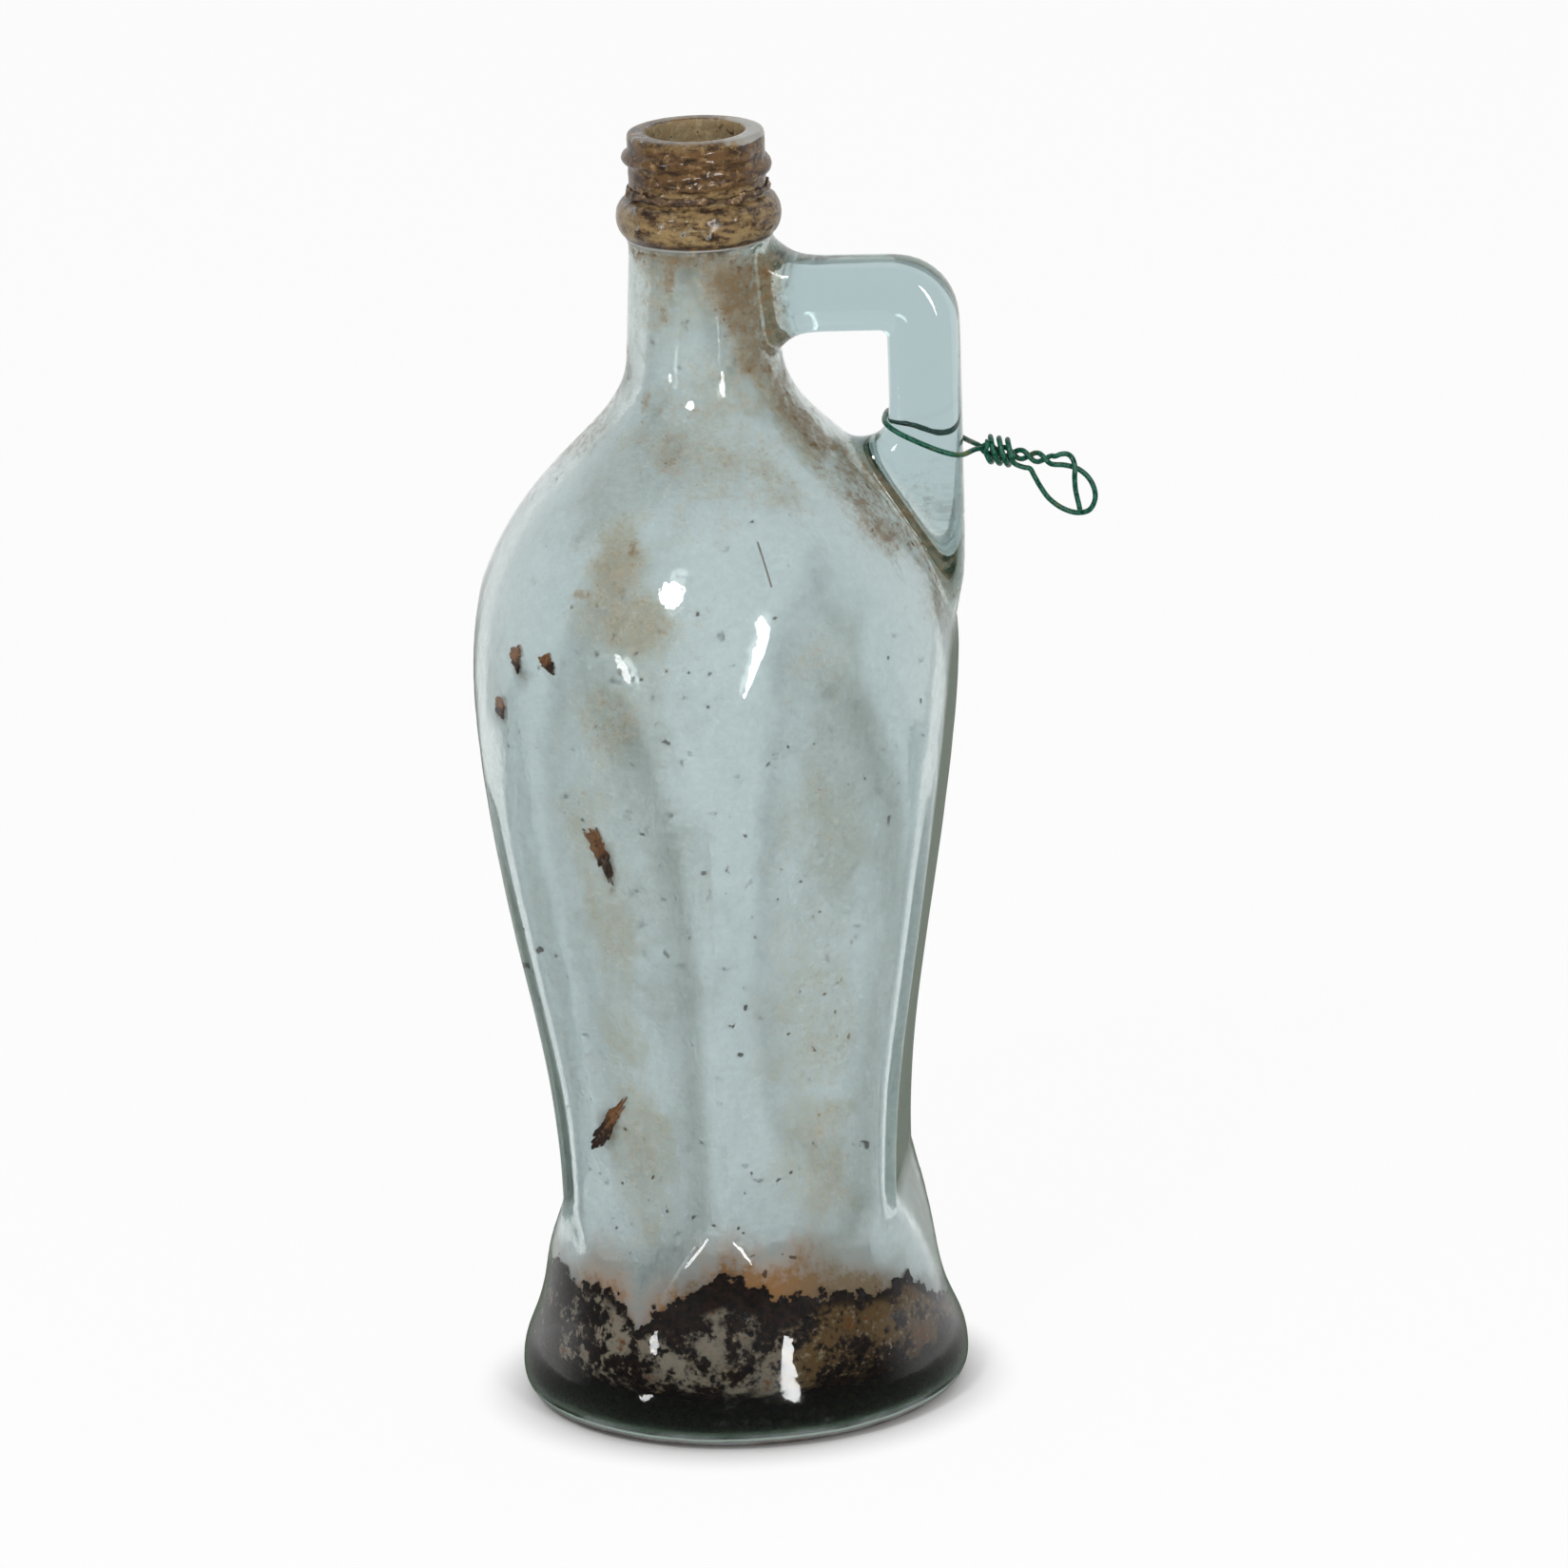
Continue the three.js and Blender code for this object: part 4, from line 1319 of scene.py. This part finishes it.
def tie_wire(material):
    """The bent wire as a round tube along its route."""
    path = smooth_route(wire_route(), 5)
    curve = bpy.data.curves.new("tie_wire_path", "CURVE")
    curve.dimensions = "3D"
    curve.bevel_depth = WIRE_DIAMETER / 2 * MM
    curve.bevel_resolution = 3
    curve.use_fill_caps = True
    spline = curve.splines.new("POLY")
    spline.points.add(len(path) - 1)
    for point, spot in zip(spline.points, path):
        point.co = (*(spot * MM), 1)
    drawn = new_object("tie_wire_drawn", curve)
    mesh = finished_mesh(drawn)
    bpy.data.objects.remove(drawn)
    bpy.data.curves.remove(curve)
    mesh.name = "tie_wire_tube"
    mesh.materials.clear()
    mesh.materials.append(material)
    mesh.shade_smooth()
    return new_object("tie_wire_tube", mesh)


WIRE_GREENS = (rgb(6, 52, 40), rgb(20, 100, 76))
WIRE_WORN = rgb(92, 96, 40)


def green_wire_coat():
    material, nodes = new_material("green_wire_coat")
    place = nodes.place()
    worn = place.mottle(7, 3, 0.6).rise(0.56, 0.7)
    grain = place.mottle(0.6, 3, 0.6)
    colour = grain.rise(0.3, 0.7).colour(*WIRE_GREENS)
    colour = worn.colour(colour, WIRE_WORN)
    return end_material(material, nodes.principled({
        "Base Color": colour,
        "Roughness": grain.rise(0.2, 0.8, 0.7),
        "Normal": nodes.bump(grain, 0.06),
    }))


bpy.context.scene.view_settings.view_transform = "Standard"
cycles = bpy.context.scene.cycles
cycles.max_bounces = 24
cycles.transmission_bounces = 24
cycles.glossy_bounces = 16
cycles.diffuse_bounces = 6
cycles.use_denoising = True

set_camera()
set_world()
set_floor()
for lamp_name, lamp_shape in LAMPS.items():
    soft_lamp(lamp_name, *lamp_shape)

glass = bottle_glass(weathered_glass())
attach(glass, "bottle")
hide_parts("glass_body", "glass_handle")

residue = base_residue(dried_residue())
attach(residue, "bottle")
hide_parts("base_residue")

crust = finish_crust(brown_crust())
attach(crust, "bottle")
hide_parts("finish_crust")

rust = flaking_rust()
for node, *shape in FLAKES:
    flake = rust_flake(node, *shape, rust)
    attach(flake, "bottle")
    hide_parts(node)

wire = tie_wire(green_wire_coat())
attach(wire, "tie")
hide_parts("tie_wire")
